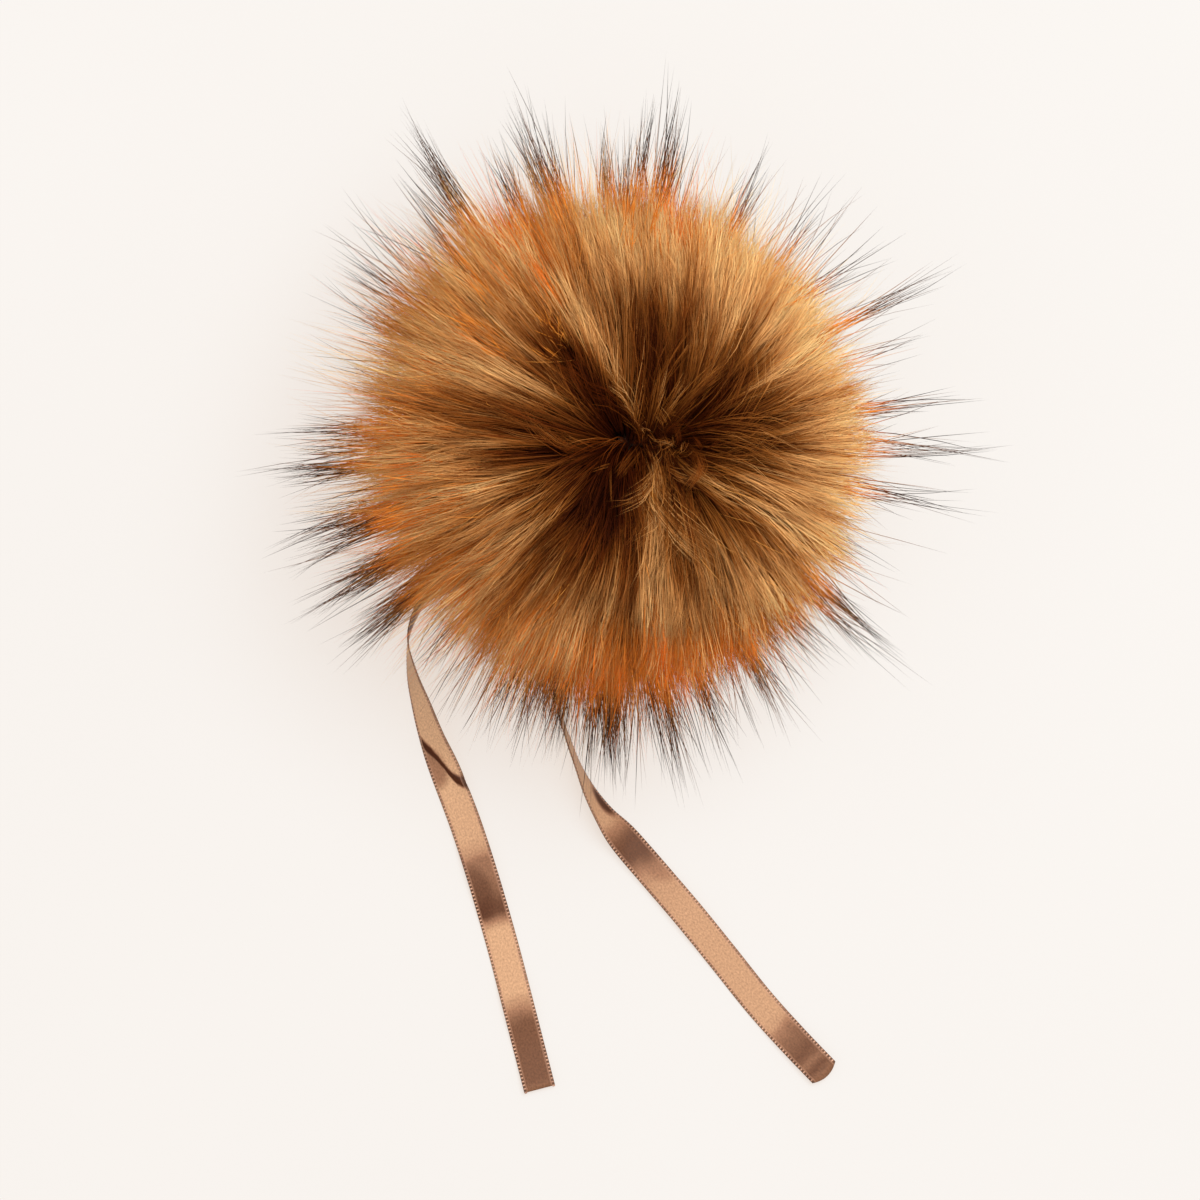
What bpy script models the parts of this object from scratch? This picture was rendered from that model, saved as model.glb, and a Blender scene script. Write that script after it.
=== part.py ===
"""A faux-fur pom pom on a satin ribbon tie, lying on the plane z = 0.

The origin is the middle of the small flat spot that the ball rests on, +Z is up, and +Y points away from the two
ribbon tails. Sizes here are in millimetres, and each mesh is turned into metres as it is made.
"""

import math
import random
from typing import NamedTuple

import bmesh
import bpy
from mathutils import Vector

MM = 0.001
UP = Vector((0.0, 0.0, 1.0))

# The core: the gathered backing with the packed roots of the pile.
CORE_CENTRE = Vector((0.0, 0.0, 39.0))
CORE_RADIUS = 40.0
CORE_HALF_HEIGHT = 30.0
CORE_SUBDIVISIONS = 3
FLAT_SPOT_RADIUS = 14.0
FLAT_SPOT_ANGLE = math.radians(38.0)
FLAT_RIM_ANGLE = math.radians(30.0)

# The whorl, where the pile parts on top, and the shallow dip around it.
WHORL_AXIS = Vector((7.0, -3.0, 33.0)).normalized()
DIP_ANGLE = math.radians(36.0)
CORE_DIP = 6.0
PILE_DIP = 8.0

# The pile: how far it stands from the middle of the ball, and how it leans away from the whorl.
PILE_HALF_HEIGHT = 40.0
SWEEP = 0.55
LOCK_ROOT = 0.84
LENGTH_SPREAD = 0.06
WANDER = 1.3
STEER_POWER = 3
TIP_FLOOR = 0.3
MOST_LOCKS = 300
SEED = 1

# The ribbon: 7 mm satin, threaded through the gathered base.
RIBBON_WIDTH = 7.0
RIBBON_THICKNESS = 1.0
RIBBON_STEP = 3.0
RIBBON_ROOM = 1.4
TENT_HALF_WIDTH = 13.0
TENT_TOP = 34.0


class Girth(NamedTuple):
    """The dense pile's radius on one side of the ball, seen from above."""

    azimuth: float
    radius: float


class Guard(NamedTuple):
    """A long dark-tipped guard lock: where its tip is, from the ball's middle, seen from above."""

    azimuth: float
    reach: float


class Step(NamedTuple):
    """A place along a lock, as a share of its length, and the lock's width there as a share of its root's."""

    along: float
    width: float


class Station(NamedTuple):
    """A place on a ribbon tail: its middle, its roll about its run in degrees, and its lower edge's height."""

    x: float
    y: float
    roll: float
    lift: float


GIRTHS = (
    Girth(0.0, 53.5),
    Girth(45.0, 51.5),
    Girth(90.0, 54.5),
    Girth(135.0, 58.5),
    Girth(180.0, 58.0),
    Girth(225.0, 57.0),
    Girth(270.0, 57.0),
    Girth(315.0, 56.0),
)

GUARDS = (
    Guard(1.0, 78.0),
    Guard(7.0, 73.0),
    Guard(19.0, 70.0),
    Guard(27.0, 79.0),
    Guard(36.0, 70.0),
    Guard(44.0, 76.0),
    Guard(51.0, 69.0),
    Guard(60.0, 68.0),
    Guard(66.0, 69.0),
    Guard(72.0, 66.0),
    Guard(80.0, 76.0),
    Guard(87.0, 72.0),
    Guard(99.0, 70.0),
    Guard(106.0, 76.0),
    Guard(113.0, 71.0),
    Guard(123.0, 79.0),
    Guard(131.0, 73.0),
    Guard(138.0, 69.0),
    Guard(145.0, 77.0),
    Guard(154.0, 70.0),
    Guard(163.0, 68.0),
    Guard(171.0, 66.0),
    Guard(178.0, 73.0),
    Guard(185.0, 76.0),
    Guard(192.0, 76.0),
    Guard(198.0, 76.0),
    Guard(208.0, 74.0),
    Guard(218.0, 73.0),
    Guard(229.0, 65.0),
    Guard(237.0, 68.0),
    Guard(243.0, 67.0),
    Guard(254.0, 68.0),
    Guard(265.0, 70.0),
    Guard(272.0, 70.0),
    Guard(278.0, 75.0),
    Guard(285.0, 76.0),
    Guard(291.0, 72.0),
    Guard(300.0, 71.0),
    Guard(307.0, 66.0),
    Guard(315.0, 67.0),
    Guard(322.0, 79.0),
    Guard(331.0, 70.0),
    Guard(339.0, 69.0),
    Guard(348.0, 77.0),
    Guard(354.0, 72.0),
)

LOCK_STEPS = (Step(0.3, 0.6), Step(0.6, 0.4), Step(0.84, 0.2))
GUARD_STEPS = (Step(0.28, 0.55), Step(0.55, 0.3), Step(0.8, 0.13))

# How high above the ball's waist the guard locks are rooted, in degrees, taken in turn.
GUARD_RISES = (4.0, 26.0, -9.0, 15.0)

# One lock in so many on the crown stands proud of the others, as a guard lock does at the waist.
CROWN_EVERY = 7
CROWN_RISE = 40.0
CROWN_LENGTH = 1.22

LEFT_TAIL = (
    Station(-10.6, -8.2, 0.0, 0.0),
    Station(-19.6, -14.6, 12.0, 0.0),
    Station(-27.4, -20.3, 38.0, 0.0),
    Station(-34.6, -26.0, 72.0, 0.0),
    Station(-39.6, -30.8, 94.0, 0.0),
    Station(-43.2, -36.0, 100.0, 0.0),
    Station(-45.4, -42.6, 90.0, 0.0),
    Station(-44.6, -50.3, 70.0, 0.0),
    Station(-42.5, -57.7, 51.0, 0.0),
    Station(-40.1, -65.1, 35.0, 0.0),
    Station(-37.0, -72.9, 12.0, 0.0),
    Station(-33.0, -83.4, 2.0, 0.3),
    Station(-29.5, -94.0, 0.0, 0.9),
    Station(-26.3, -104.9, 0.0, 0.2),
    Station(-23.8, -114.0, 0.0, 0.0),
    Station(-21.3, -123.6, 0.0, 0.7),
    Station(-18.9, -133.0, 0.0, 0.2),
    Station(-16.5, -142.2, 0.0, 0.9),
)

RIGHT_TAIL = (
    Station(-3.0, -14.8, 0.0, 0.0),
    Station(-5.7, -24.6, -14.0, 0.0),
    Station(-8.5, -34.8, -44.0, 0.0),
    Station(-10.9, -45.0, -74.0, 0.0),
    Station(-12.2, -53.6, -86.0, 0.0),
    Station(-11.9, -59.6, -86.0, 0.0),
    Station(-10.2, -65.0, -83.0, 0.0),
    Station(-8.1, -70.7, -80.0, 0.0),
    Station(-5.5, -76.4, -68.0, 0.0),
    Station(-2.0, -82.0, -50.0, 0.0),
    Station(2.7, -87.8, -16.0, 0.0),
    Station(9.4, -95.6, -2.0, 0.5),
    Station(16.5, -103.9, 0.0, 0.9),
    Station(24.0, -113.2, 0.0, 0.2),
    Station(31.9, -123.1, 0.0, 0.0),
    Station(39.2, -131.2, 0.0, 0.7),
    Station(46.2, -138.5, 0.0, 1.1),
)


def clear_scene() -> None:
    """Removes every object of the scene that the script starts in."""
    for obj in list(bpy.data.objects):
        bpy.data.objects.remove(obj, do_unlink=True)


def plain_finish(name: str, colour: tuple[float, float, float], roughness: float) -> bpy.types.Material:
    """Makes a Principled material of one colour and roughness."""
    material = bpy.data.materials.new(name)
    material.use_nodes = True
    shader = material.node_tree.nodes["Principled BSDF"]
    shader.inputs["Base Color"].default_value = (*colour, 1.0)
    shader.inputs["Roughness"].default_value = roughness
    shader.inputs["Metallic"].default_value = 0.0
    material.diffuse_color = (*colour, 1.0)
    return material


def add_part(name: str, bm: bmesh.types.BMesh, material: bpy.types.Material) -> bpy.types.Object:
    """Turns a closed shape in millimetres into a named object in metres."""
    bmesh.ops.recalc_face_normals(bm, faces=bm.faces)
    bmesh.ops.scale(bm, vec=(MM, MM, MM), verts=bm.verts)
    mesh = bpy.data.meshes.new(name)
    bm.to_mesh(mesh)
    bm.free()
    mesh.shade_smooth()
    mesh.set_sharp_from_angle(angle=math.radians(50.0))
    mesh.materials.append(material)
    obj = bpy.data.objects.new(name, mesh)
    bpy.context.scene.collection.objects.link(obj)
    return obj


def eased(share: float) -> float:
    """A smooth step from 0 to 1 as the share goes from 0 to 1."""
    held = min(1.0, max(0.0, share))
    return held * held * (3.0 - 2.0 * held)


def azimuth_of(direction: Vector) -> float:
    """The direction's angle from +X seen from above, in degrees from 0 to 360."""
    return math.degrees(math.atan2(direction.y, direction.x)) % 360.0


def turn_between(a: float, b: float) -> float:
    """The signed turn from azimuth a to azimuth b, from -180 to 180 degrees."""
    return (b - a + 180.0) % 360.0 - 180.0


def girth_at(azimuth: float) -> float:
    """The dense pile's radius at an azimuth, read smoothly between the rows of GIRTHS."""
    pitch = 360.0 / len(GIRTHS)
    row = int(azimuth // pitch) % len(GIRTHS)
    share = eased(azimuth / pitch - azimuth // pitch)
    following = GIRTHS[(row + 1) % len(GIRTHS)]
    return GIRTHS[row].radius * (1.0 - share) + following.radius * share


def dip_at(direction: Vector) -> float:
    """How much of the dip around the whorl a direction gets, from 0 to 1."""
    return eased(1.0 - direction.angle(WHORL_AXIS) / DIP_ANGLE)


def shell_radius(direction: Vector, radius: float, half_height: float) -> float:
    """How far an ellipsoid of revolution reaches from its middle in a direction."""
    level = math.hypot(direction.x, direction.y) / radius
    return 1.0 / math.hypot(level, direction.z / half_height)


def core_point(direction: Vector) -> Vector:
    """The core's surface in a direction from its middle, with the flat spot below and the dip on top."""
    from_below = direction.angle(-UP)
    if from_below < FLAT_SPOT_ANGLE:
        radius = FLAT_SPOT_RADIUS * min(1.0, from_below / FLAT_RIM_ANGLE)
        level = Vector((direction.x, direction.y, 0.0))
        return level.normalized() * radius if level.length > 1e-6 else level
    reach = shell_radius(direction, CORE_RADIUS, CORE_HALF_HEIGHT) - CORE_DIP * dip_at(direction)
    return CORE_CENTRE + direction * reach


def pile_point(direction: Vector) -> Vector:
    """The outside of the dense pile in a direction from the core's middle."""
    girth = girth_at(azimuth_of(direction))
    reach = shell_radius(direction, girth, PILE_HALF_HEIGHT) - PILE_DIP * dip_at(direction)
    return CORE_CENTRE + direction * reach


def swept(direction: Vector, share: float) -> Vector:
    """A root's direction turned away from the whorl, as the pile leans with the share of its length."""
    tilt = direction.angle(WHORL_AXIS)
    across = direction - WHORL_AXIS * direction.dot(WHORL_AXIS)
    if across.length < 1e-6 or tilt >= math.pi / 2.0:
        return direction
    leaning = tilt + SWEEP * share * math.sin(2.0 * tilt) / 2.0
    return WHORL_AXIS * math.cos(leaning) + across.normalized() * math.sin(leaning)


def run_point(direction: Vector, share: float) -> Vector:
    """A point of the pile: 0 is at the root on the core, 1 on the outside of the dense pile."""
    return core_point(direction).lerp(pile_point(swept(direction, share)), share)


def tail_points(stations: tuple[Station, ...]) -> list[Station]:
    """Reads a tail's stations as one smooth curve (Catmull-Rom), with a point about every RIBBON_STEP."""
    rows = [Vector(station) for station in stations]
    rows = [rows[0] * 2.0 - rows[1], *rows, rows[-1] * 2.0 - rows[-2]]
    points = []
    for before, start, end, after in zip(rows, rows[1:], rows[2:], rows[3:]):
        count = max(1, round((end.xy - start.xy).length / RIBBON_STEP))
        for part in range(count):
            t = part / count
            bend = (before * -1.0 + start * 3.0 - end * 3.0 + after) * t**3
            bend += (before * 2.0 - start * 5.0 + end * 4.0 - after) * t**2
            bend += (end - before) * t
            points.append(Station(*(start + bend * 0.5)))
    points.append(stations[-1])
    return points


def strip_middle(point: Station) -> Vector:
    """The middle of the ribbon's section, with its lower edge at its lift above the floor."""
    roll = math.radians(point.roll)
    half = RIBBON_WIDTH * abs(math.sin(roll)) + RIBBON_THICKNESS * abs(math.cos(roll))
    return Vector((point.x, point.y, max(0.0, point.lift) + half / 2.0))


def tent_at(place: Vector, ribbons: list[list[Station]]) -> float:
    """How far the pile is lifted at a place, so that it lies over the ribbon and not through it."""
    lift = 0.0
    for point in (p for ribbon in ribbons for p in ribbon):
        middle = strip_middle(point)
        top = 2.0 * middle.z - max(0.0, point.lift) + RIBBON_ROOM
        share = eased((TENT_HALF_WIDTH - (place.xy - middle.xy).length) / (TENT_HALF_WIDTH / 2.0))
        lift = max(lift, top * share)
    return lift


def over_ribbon(place: Vector, ribbons: list[list[Station]]) -> Vector:
    """Moves a point of the pile up over the ribbon, less and less towards TENT_TOP."""
    if place.z >= TENT_TOP:
        return place
    lift = tent_at(place, ribbons)
    return Vector((place.x, place.y, lift + place.z * (1.0 - lift / TENT_TOP)))


def rounded_run(direction: Vector, wanted: float) -> float:
    """The share of its full length that a lock gets, shorter where it would reach the floor."""
    share = wanted
    while share > 0.15 and run_point(direction, share).z < TIP_FLOOR:
        share -= 0.01
    return share


def rise_of(direction: Vector) -> float:
    """A direction's angle above the level, in degrees."""
    return math.degrees(math.asin(direction.z))


def guard_faces(directions: list[Vector]) -> dict[int, Guard]:
    """Gives each guard lock the free root that lies nearest to its azimuth and to its turn of GUARD_RISES."""
    chosen: dict[int, Guard] = {}
    for turn, guard in enumerate(GUARDS):
        rise = GUARD_RISES[turn % len(GUARD_RISES)]
        free = [index for index in range(len(directions)) if index not in chosen]

        def distance(index: int) -> float:
            off = abs(turn_between(azimuth_of(directions[index]), guard.azimuth))
            return off + 0.5 * abs(rise_of(directions[index]) - rise)

        chosen[min(free, key=distance)] = guard
    return chosen


def bridge(bm: bmesh.types.BMesh, lower: list, upper: list) -> None:
    """Joins two loops of the same number of vertices with a band of quads."""
    for index, vertex in enumerate(lower):
        following = (index + 1) % len(lower)
        bm.faces.new((vertex, lower[following], upper[following], upper[index]))


def grow_lock(
    bm: bmesh.types.BMesh,
    face: bmesh.types.BMFace,
    corners: list[Vector],
    guard: Guard | None,
    chance: random.Random,
    ribbons: list[list[Station]],
) -> None:
    """Replaces a face of the core by a lock: a three-sided spike whose root is a little inside the face."""
    middle = sum(corners, Vector()).normalized()
    wanted = 1.0 + chance.uniform(-LENGTH_SPREAD, LENGTH_SPREAD)
    if rise_of(middle) > CROWN_RISE and face.index % CROWN_EVERY == 0:
        wanted = CROWN_LENGTH
    length = rounded_run(middle, wanted)
    end = run_point(middle, length)
    tip = end + Vector([chance.uniform(-WANDER, WANDER) for _ in range(3)])
    if guard:
        out = Vector((math.cos(math.radians(guard.azimuth)), math.sin(math.radians(guard.azimuth)), 0.0))
        stretch = guard.reach / max(1.0, end.xy.length)
        tip = out * guard.reach + UP * (CORE_CENTRE.z + (end.z - CORE_CENTRE.z) * stretch)
    tip.z = max(tip.z, TIP_FLOOR)
    old = list(face.verts)
    bm.faces.remove(face)
    centre = sum((vertex.co for vertex in old), Vector()) / len(old)
    ring = [bm.verts.new(centre.lerp(vertex.co, LOCK_ROOT)) for vertex in old]
    bridge(bm, old, ring)
    for step in GUARD_STEPS if guard else LOCK_STEPS:
        along = step.along * length
        spine = run_point(middle, along)
        shift = (tip - end) * step.along**STEER_POWER
        places = [spine + (run_point(corner, along) - spine) * step.width + shift for corner in corners]
        upper = [bm.verts.new(over_ribbon(place, ribbons)) for place in places]
        bridge(bm, ring, upper)
        ring = upper
    point = bm.verts.new(over_ribbon(tip, ribbons))
    for index, vertex in enumerate(ring):
        bm.faces.new((vertex, ring[(index + 1) % len(ring)], point))


def fur_ball(ribbons: list[list[Station]]) -> bmesh.types.BMesh:
    """Builds the ball: the core with a lock on each of its faces but those of the flat spot."""
    chance = random.Random(SEED)
    bm = bmesh.new()
    bmesh.ops.create_icosphere(bm, subdivisions=CORE_SUBDIVISIONS, radius=1.0)
    directions = {vertex: vertex.co.normalized() for vertex in bm.verts}
    for vertex, direction in directions.items():
        vertex.co = core_point(direction)
        if vertex.co.z > 0.0:
            vertex.co = over_ribbon(vertex.co, ribbons)
    bm.faces.index_update()
    roots = [face for face in bm.faces if any(vertex.co.z > 1e-6 for vertex in face.verts)][:MOST_LOCKS]
    corners = [[directions[vertex] for vertex in face.verts] for face in roots]
    guards = guard_faces([sum(triple, Vector()).normalized() for triple in corners])
    for index, face in enumerate(roots):
        grow_lock(bm, face, corners[index], guards.get(index), chance, ribbons)
    return bm


def ribbon_strip(points: list[Station]) -> bmesh.types.BMesh:
    """Builds a tail as a flat strip that follows its curve and rolls about it."""
    bm = bmesh.new()
    ring = []
    for index, point in enumerate(points):
        before = points[max(0, index - 1)]
        after = points[min(len(points) - 1, index + 1)]
        run = Vector((after.x - before.x, after.y - before.y, 0.0)).normalized()
        roll = math.radians(point.roll)
        across = (UP.cross(run) * math.cos(roll) + UP * math.sin(roll)) * RIBBON_WIDTH / 2.0
        through = run.cross(across).normalized() * RIBBON_THICKNESS / 2.0
        middle = strip_middle(point)
        places = (across + through, across - through, -across - through, through - across)
        following = [bm.verts.new(middle + place) for place in places]
        if ring:
            bridge(bm, ring, following)
        else:
            bm.faces.new(following)
        ring = following
    bm.faces.new(ring)
    return bm


def build() -> None:
    """Builds the ball and the two ribbon tails."""
    clear_scene()
    fur = plain_finish("long pile faux fur", (0.33, 0.15, 0.045), 0.7)
    satin = plain_finish("satin ribbon", (0.52, 0.29, 0.17), 0.4)
    tails = {"ribbon_tie_left": tail_points(LEFT_TAIL), "ribbon_tie_right": tail_points(RIGHT_TAIL)}
    add_part("fur_pompom", fur_ball(list(tails.values())), fur)
    for name, points in tails.items():
        add_part(name, ribbon_strip(points), satin)


build()
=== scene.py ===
"""A long-pile fur pompom on a satin ribbon: backing, pile, curls, guard hairs, ribbon tails and studio.

Lengths are millimetres and angles degrees in every table and field. A mesh is made in metres, by MM.
The ball stands on the floor with its middle over the origin, and the ribbon tails run towards -Y.
"""

import logging
import math
from dataclasses import dataclass, field
from enum import Enum
from typing import Callable, ClassVar, Iterator, NamedTuple, Sequence

import bmesh
import bpy
import numpy as np
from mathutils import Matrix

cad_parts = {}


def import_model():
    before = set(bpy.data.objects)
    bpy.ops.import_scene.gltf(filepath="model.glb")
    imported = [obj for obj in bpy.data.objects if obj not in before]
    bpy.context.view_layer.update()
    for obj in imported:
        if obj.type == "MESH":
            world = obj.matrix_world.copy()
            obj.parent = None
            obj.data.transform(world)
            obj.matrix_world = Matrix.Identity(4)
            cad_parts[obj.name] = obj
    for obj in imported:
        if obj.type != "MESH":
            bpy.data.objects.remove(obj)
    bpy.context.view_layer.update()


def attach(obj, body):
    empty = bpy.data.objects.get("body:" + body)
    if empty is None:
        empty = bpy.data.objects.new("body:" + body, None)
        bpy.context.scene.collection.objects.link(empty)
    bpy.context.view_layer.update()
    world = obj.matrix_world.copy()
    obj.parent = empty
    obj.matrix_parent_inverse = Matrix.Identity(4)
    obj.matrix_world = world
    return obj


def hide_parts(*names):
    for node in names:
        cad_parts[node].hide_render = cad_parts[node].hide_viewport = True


MM = 0.001
BODY = "root"
DYE_MAP = "OFBake"
UP = np.array((0.0, 0.0, 1.0))
RIBBON_MAP = "ribbon_run"
STRAND_SIDES = 3
TONE_WIDTH = 0.003
log = logging.getLogger("pompom")

Pair = tuple[float, float]
Triple = tuple[float, float, float]
Colour = Triple
Stop = tuple[float, Colour]
Socket = bpy.types.NodeSocket
Rng = np.random.Generator


class Node(Enum):
    """The solids that the scene's pieces stand for."""

    FUR = "fur_pompom"
    LEFT_TAIL = "ribbon_tie_left"
    RIGHT_TAIL = "ribbon_tie_right"


class Slot(Enum):
    """The finishes that the part's record names."""

    FUR = "long_pile_fur"
    SATIN = "satin_ribbon"


class Strength(Enum):
    """The tufts in a bundle of guard hairs, the hairs in each, and how far round the tufts spread."""

    SINGLE = (1, 2, 0.5)
    FAINT = (7, 2, 3.4)
    TIGHT = (3, 9, 1.0)
    MEDIUM = (6, 8, 2.8)
    STRONG = (7, 13, 2.6)
    DENSE = (11, 14, 3.2)
    HEAVY = (13, 16, 3.4)


# ---------------------------------------------------------------- small helpers


def rows_of(kind: type, *rows: tuple) -> tuple:
    """Makes a table of one kind of row from plain tuples."""
    return tuple(kind(*row) for row in rows)


def shares(count: int) -> np.ndarray:
    """Gives evenly spread shares from 0 to 1, as one row."""
    return np.linspace(0.0, 1.0, count)[None, :]


def unit(vectors: np.ndarray) -> np.ndarray:
    """Gives the vectors a length of one."""
    return vectors / np.maximum(np.linalg.norm(vectors, axis=-1, keepdims=True), 1e-9)


def eased(share: np.ndarray | float) -> np.ndarray:
    """Turns a share from 0 to 1 into a soft start and a soft stop."""
    held = np.clip(share, 0.0, 1.0)
    return held * held * (3.0 - 2.0 * held)


def turn_between(first: np.ndarray, second: np.ndarray | float) -> np.ndarray:
    """Gives the signed turn in degrees from the second azimuth to the first."""
    return (first - second + 180.0) % 360.0 - 180.0


def soft_floor(height: np.ndarray, ground: np.ndarray, softness: float, reach: float = 12.0,
               limit: float = 30.0) -> np.ndarray:
    """Lays what would sink below the ground down on it, with a soft bend.

    Args:
        height: Heights that may be under the ground.
        ground: Height of the ground below each of them.
        softness: Height of the bend.
        reach: How many times that height over the ground the bend is no longer felt.
        limit: How many times it a height may lie off the ground in the bend's own sum.

    Returns:
        Heights that are all above the ground.
    """
    over = np.clip((height - ground) / softness, -limit, limit)
    lifted = ground + softness * np.log1p(np.exp(over))
    return np.where(height - ground > reach * softness, height, lifted)


def deselect_all() -> None:
    """Leaves nothing selected, so that an operator acts on the new piece alone."""
    for thing in bpy.context.selected_objects:
        thing.select_set(False)


def adopt(piece: bpy.types.Object, slot: Slot, node: Node) -> bpy.types.Object:
    """Fixes a piece to the part and hides the solid that it stands for."""
    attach(piece, BODY)
    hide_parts(node.value)
    return piece


def placed(name: str, mesh: bpy.types.Mesh, material: bpy.types.Material) -> bpy.types.Object:
    """Gives a mesh its finish and puts it in the scene as a new object at the origin."""
    mesh.materials.append(material)
    piece = bpy.data.objects.new(name, mesh)
    bpy.context.collection.objects.link(piece)
    return piece


def triangles_in(piece: bpy.types.Object) -> int:
    """Counts the triangles of a finished mesh."""
    return len(piece.data.loops) - 2 * len(piece.data.polygons)


# ---------------------------------------------------------------- shader groups and finishes


class Nodes:
    """Adds nodes to one tree and feeds them, so that each finish reads as a short list."""

    def __init__(self, tree: bpy.types.NodeTree) -> None:
        """Keeps the tree that the nodes go into."""
        self.tree = tree

    def feed(self, node: bpy.types.Node, inputs: dict[str | int, object]) -> None:
        """Links each named input to its socket, or sets it to its plain value."""
        for name, value in inputs.items():
            if isinstance(value, Socket):
                self.tree.links.new(value, node.inputs[name])
            else:
                node.inputs[name].default_value = value

    def add(self, kind: str, inputs: dict[str | int, object] | None = None,
            **settings: object) -> bpy.types.Node:
        """Adds a node of one kind, sets its properties and then feeds its inputs."""
        node = self.tree.nodes.new(kind)
        for name, value in settings.items():
            setattr(node, name, value)
        self.feed(node, inputs or {})
        return node

    def chart(self, name: str) -> Socket:
        """Adds a map of the piece by its name."""
        return self.add("ShaderNodeUVMap", uv_map=name).outputs["UV"]

    def place(self) -> Socket:
        """Adds the piece's own Object coordinates."""
        return self.add("ShaderNodeTexCoord").outputs["Object"]

    def noise(self, vector: Socket, scale: object, detail: float = 2.0) -> Socket:
        """Adds noise on a vector."""
        inputs = {"Vector": vector, "Scale": scale, "Detail": detail}
        return self.add("ShaderNodeTexNoise", inputs).outputs["Fac"]

    def ramp(self, factor: Socket, stops: Sequence[Stop]) -> Socket:
        """Adds a colour ramp.

        Args:
            factor: What the ramp reads.
            stops: Place and linear colour of each stop, in order.

        Returns:
            The ramp's colour output.
        """
        node = self.add("ShaderNodeValToRGB", {"Fac": factor})
        elements = node.color_ramp.elements
        while len(elements) > 1:
            elements.remove(elements[-1])
        elements[0].position = stops[0][0]
        elements[0].color = (*stops[0][1], 1.0)
        for place, colour in stops[1:]:
            elements.new(place).color = (*colour, 1.0)
        return node.outputs["Color"]

    def math(self, operation: str, first: object, second: object) -> Socket:
        """Adds a math node on two sockets or numbers."""
        return self.add("ShaderNodeMath", {0: first, 1: second}, operation=operation).outputs["Value"]

    def span(self, value: Socket, low: float, high: float, start: float = 0.0,
             end: float = 1.0) -> Socket:
        """Maps a value softly from low..high to start..end."""
        inputs = {"Value": value, "From Min": low, "From Max": high, "To Min": start, "To Max": end}
        return self.add("ShaderNodeMapRange", inputs, interpolation_type="SMOOTHSTEP").outputs["Result"]

    def mix(self, factor: Socket, first: Socket, second: Socket | Colour) -> Socket:
        """Mixes a colour with another, or with a plain one."""
        other = (*second, 1.0) if isinstance(second, tuple) else second
        inputs = {"Factor": factor, "A": first, "B": other}
        return self.add("ShaderNodeMix", inputs, data_type="RGBA").outputs["Result"]

    def shaded(self, colour: Socket, shade: Socket) -> Socket:
        """Multiplies a colour by a shade."""
        inputs = {"Vector": colour, "Scale": shade}
        return self.add("ShaderNodeVectorMath", inputs, operation="SCALE").outputs["Vector"]

    def split(self, vector: Socket) -> tuple[Socket, Socket]:
        """Splits a map's vector into its two coordinates."""
        node = self.add("ShaderNodeSeparateXYZ", {"Vector": vector})
        return node.outputs["X"], node.outputs["Y"]

    def bump(self, height: Socket, strength: float, depth: float) -> Socket:
        """Adds a bump of so many millimetres that follows a height."""
        inputs = {"Height": height, "Strength": strength, "Distance": depth * MM}
        return self.add("ShaderNodeBump", inputs).outputs["Normal"]


def thread_grain_group() -> bpy.types.ShaderNodeTree:
    """Makes the grain that fibres and threads share: fine streaks that are long one way.

    Inputs are the Vector that carries the grain, its Fineness, its Stretch along the second axis
    and its Depth. The output Shade lies round 1.
    """
    tree = bpy.data.node_groups.new("thread_grain", "ShaderNodeTree")
    sockets = tree.interface
    sockets.new_socket("Vector", in_out="INPUT", socket_type="NodeSocketVector")
    for name, value in (("Fineness", 200.0), ("Stretch", 0.05), ("Depth", 0.2)):
        socket = sockets.new_socket(name, in_out="INPUT", socket_type="NodeSocketFloat")
        socket.default_value = value
    sockets.new_socket("Shade", in_out="OUTPUT", socket_type="NodeSocketFloat")
    nodes = Nodes(tree)
    source = nodes.add("NodeGroupInput").outputs
    across, along = nodes.split(source["Vector"])
    stretched = nodes.math("MULTIPLY", along, source["Stretch"])
    combined = nodes.add("ShaderNodeCombineXYZ", {"X": across, "Y": stretched})
    streaks = nodes.noise(combined.outputs["Vector"], source["Fineness"])
    swing = nodes.math("MULTIPLY", nodes.math("SUBTRACT", streaks, 0.5), 2.0)
    scaled = nodes.math("MULTIPLY", swing, source["Depth"])
    nodes.add("NodeGroupOutput", {"Shade": nodes.math("ADD", scaled, 1.0)})
    return tree


@dataclass(frozen=True)
class Grain:
    """One use of the shared thread grain."""

    fineness: float
    stretch: float
    depth: float

    def dress(self, nodes: Nodes, shader: bpy.types.Node, vector: Socket,
              colour: Socket, roughness: float) -> Socket:
        """Gives a shader a colour and a roughness that carry the grain.

        Args:
            nodes: The material's nodes.
            shader: Its shader.
            vector: What carries the grain.
            colour: The colour without the grain.
            roughness: The roughness without it.

        Returns:
            The grain's shade, round 1.
        """
        tree = bpy.data.node_groups.get("thread_grain") or thread_grain_group()
        shade = nodes.add("ShaderNodeGroup", {
            "Vector": vector,
            "Fineness": self.fineness,
            "Stretch": self.stretch,
            "Depth": self.depth,
        }, node_tree=tree).outputs["Shade"]
        nodes.feed(shader, {
            "Base Color": nodes.shaded(colour, shade),
            "Roughness": nodes.math("MULTIPLY", shade, roughness),
        })
        return shade


def new_material(name: str) -> tuple[bpy.types.Material, Nodes, bpy.types.Node]:
    """Makes a material and gives it with its nodes and its Principled shader."""
    material = bpy.data.materials.new(name)
    material.use_nodes = True
    shader = material.node_tree.nodes["Principled BSDF"]
    return material, Nodes(material.node_tree), shader


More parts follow.
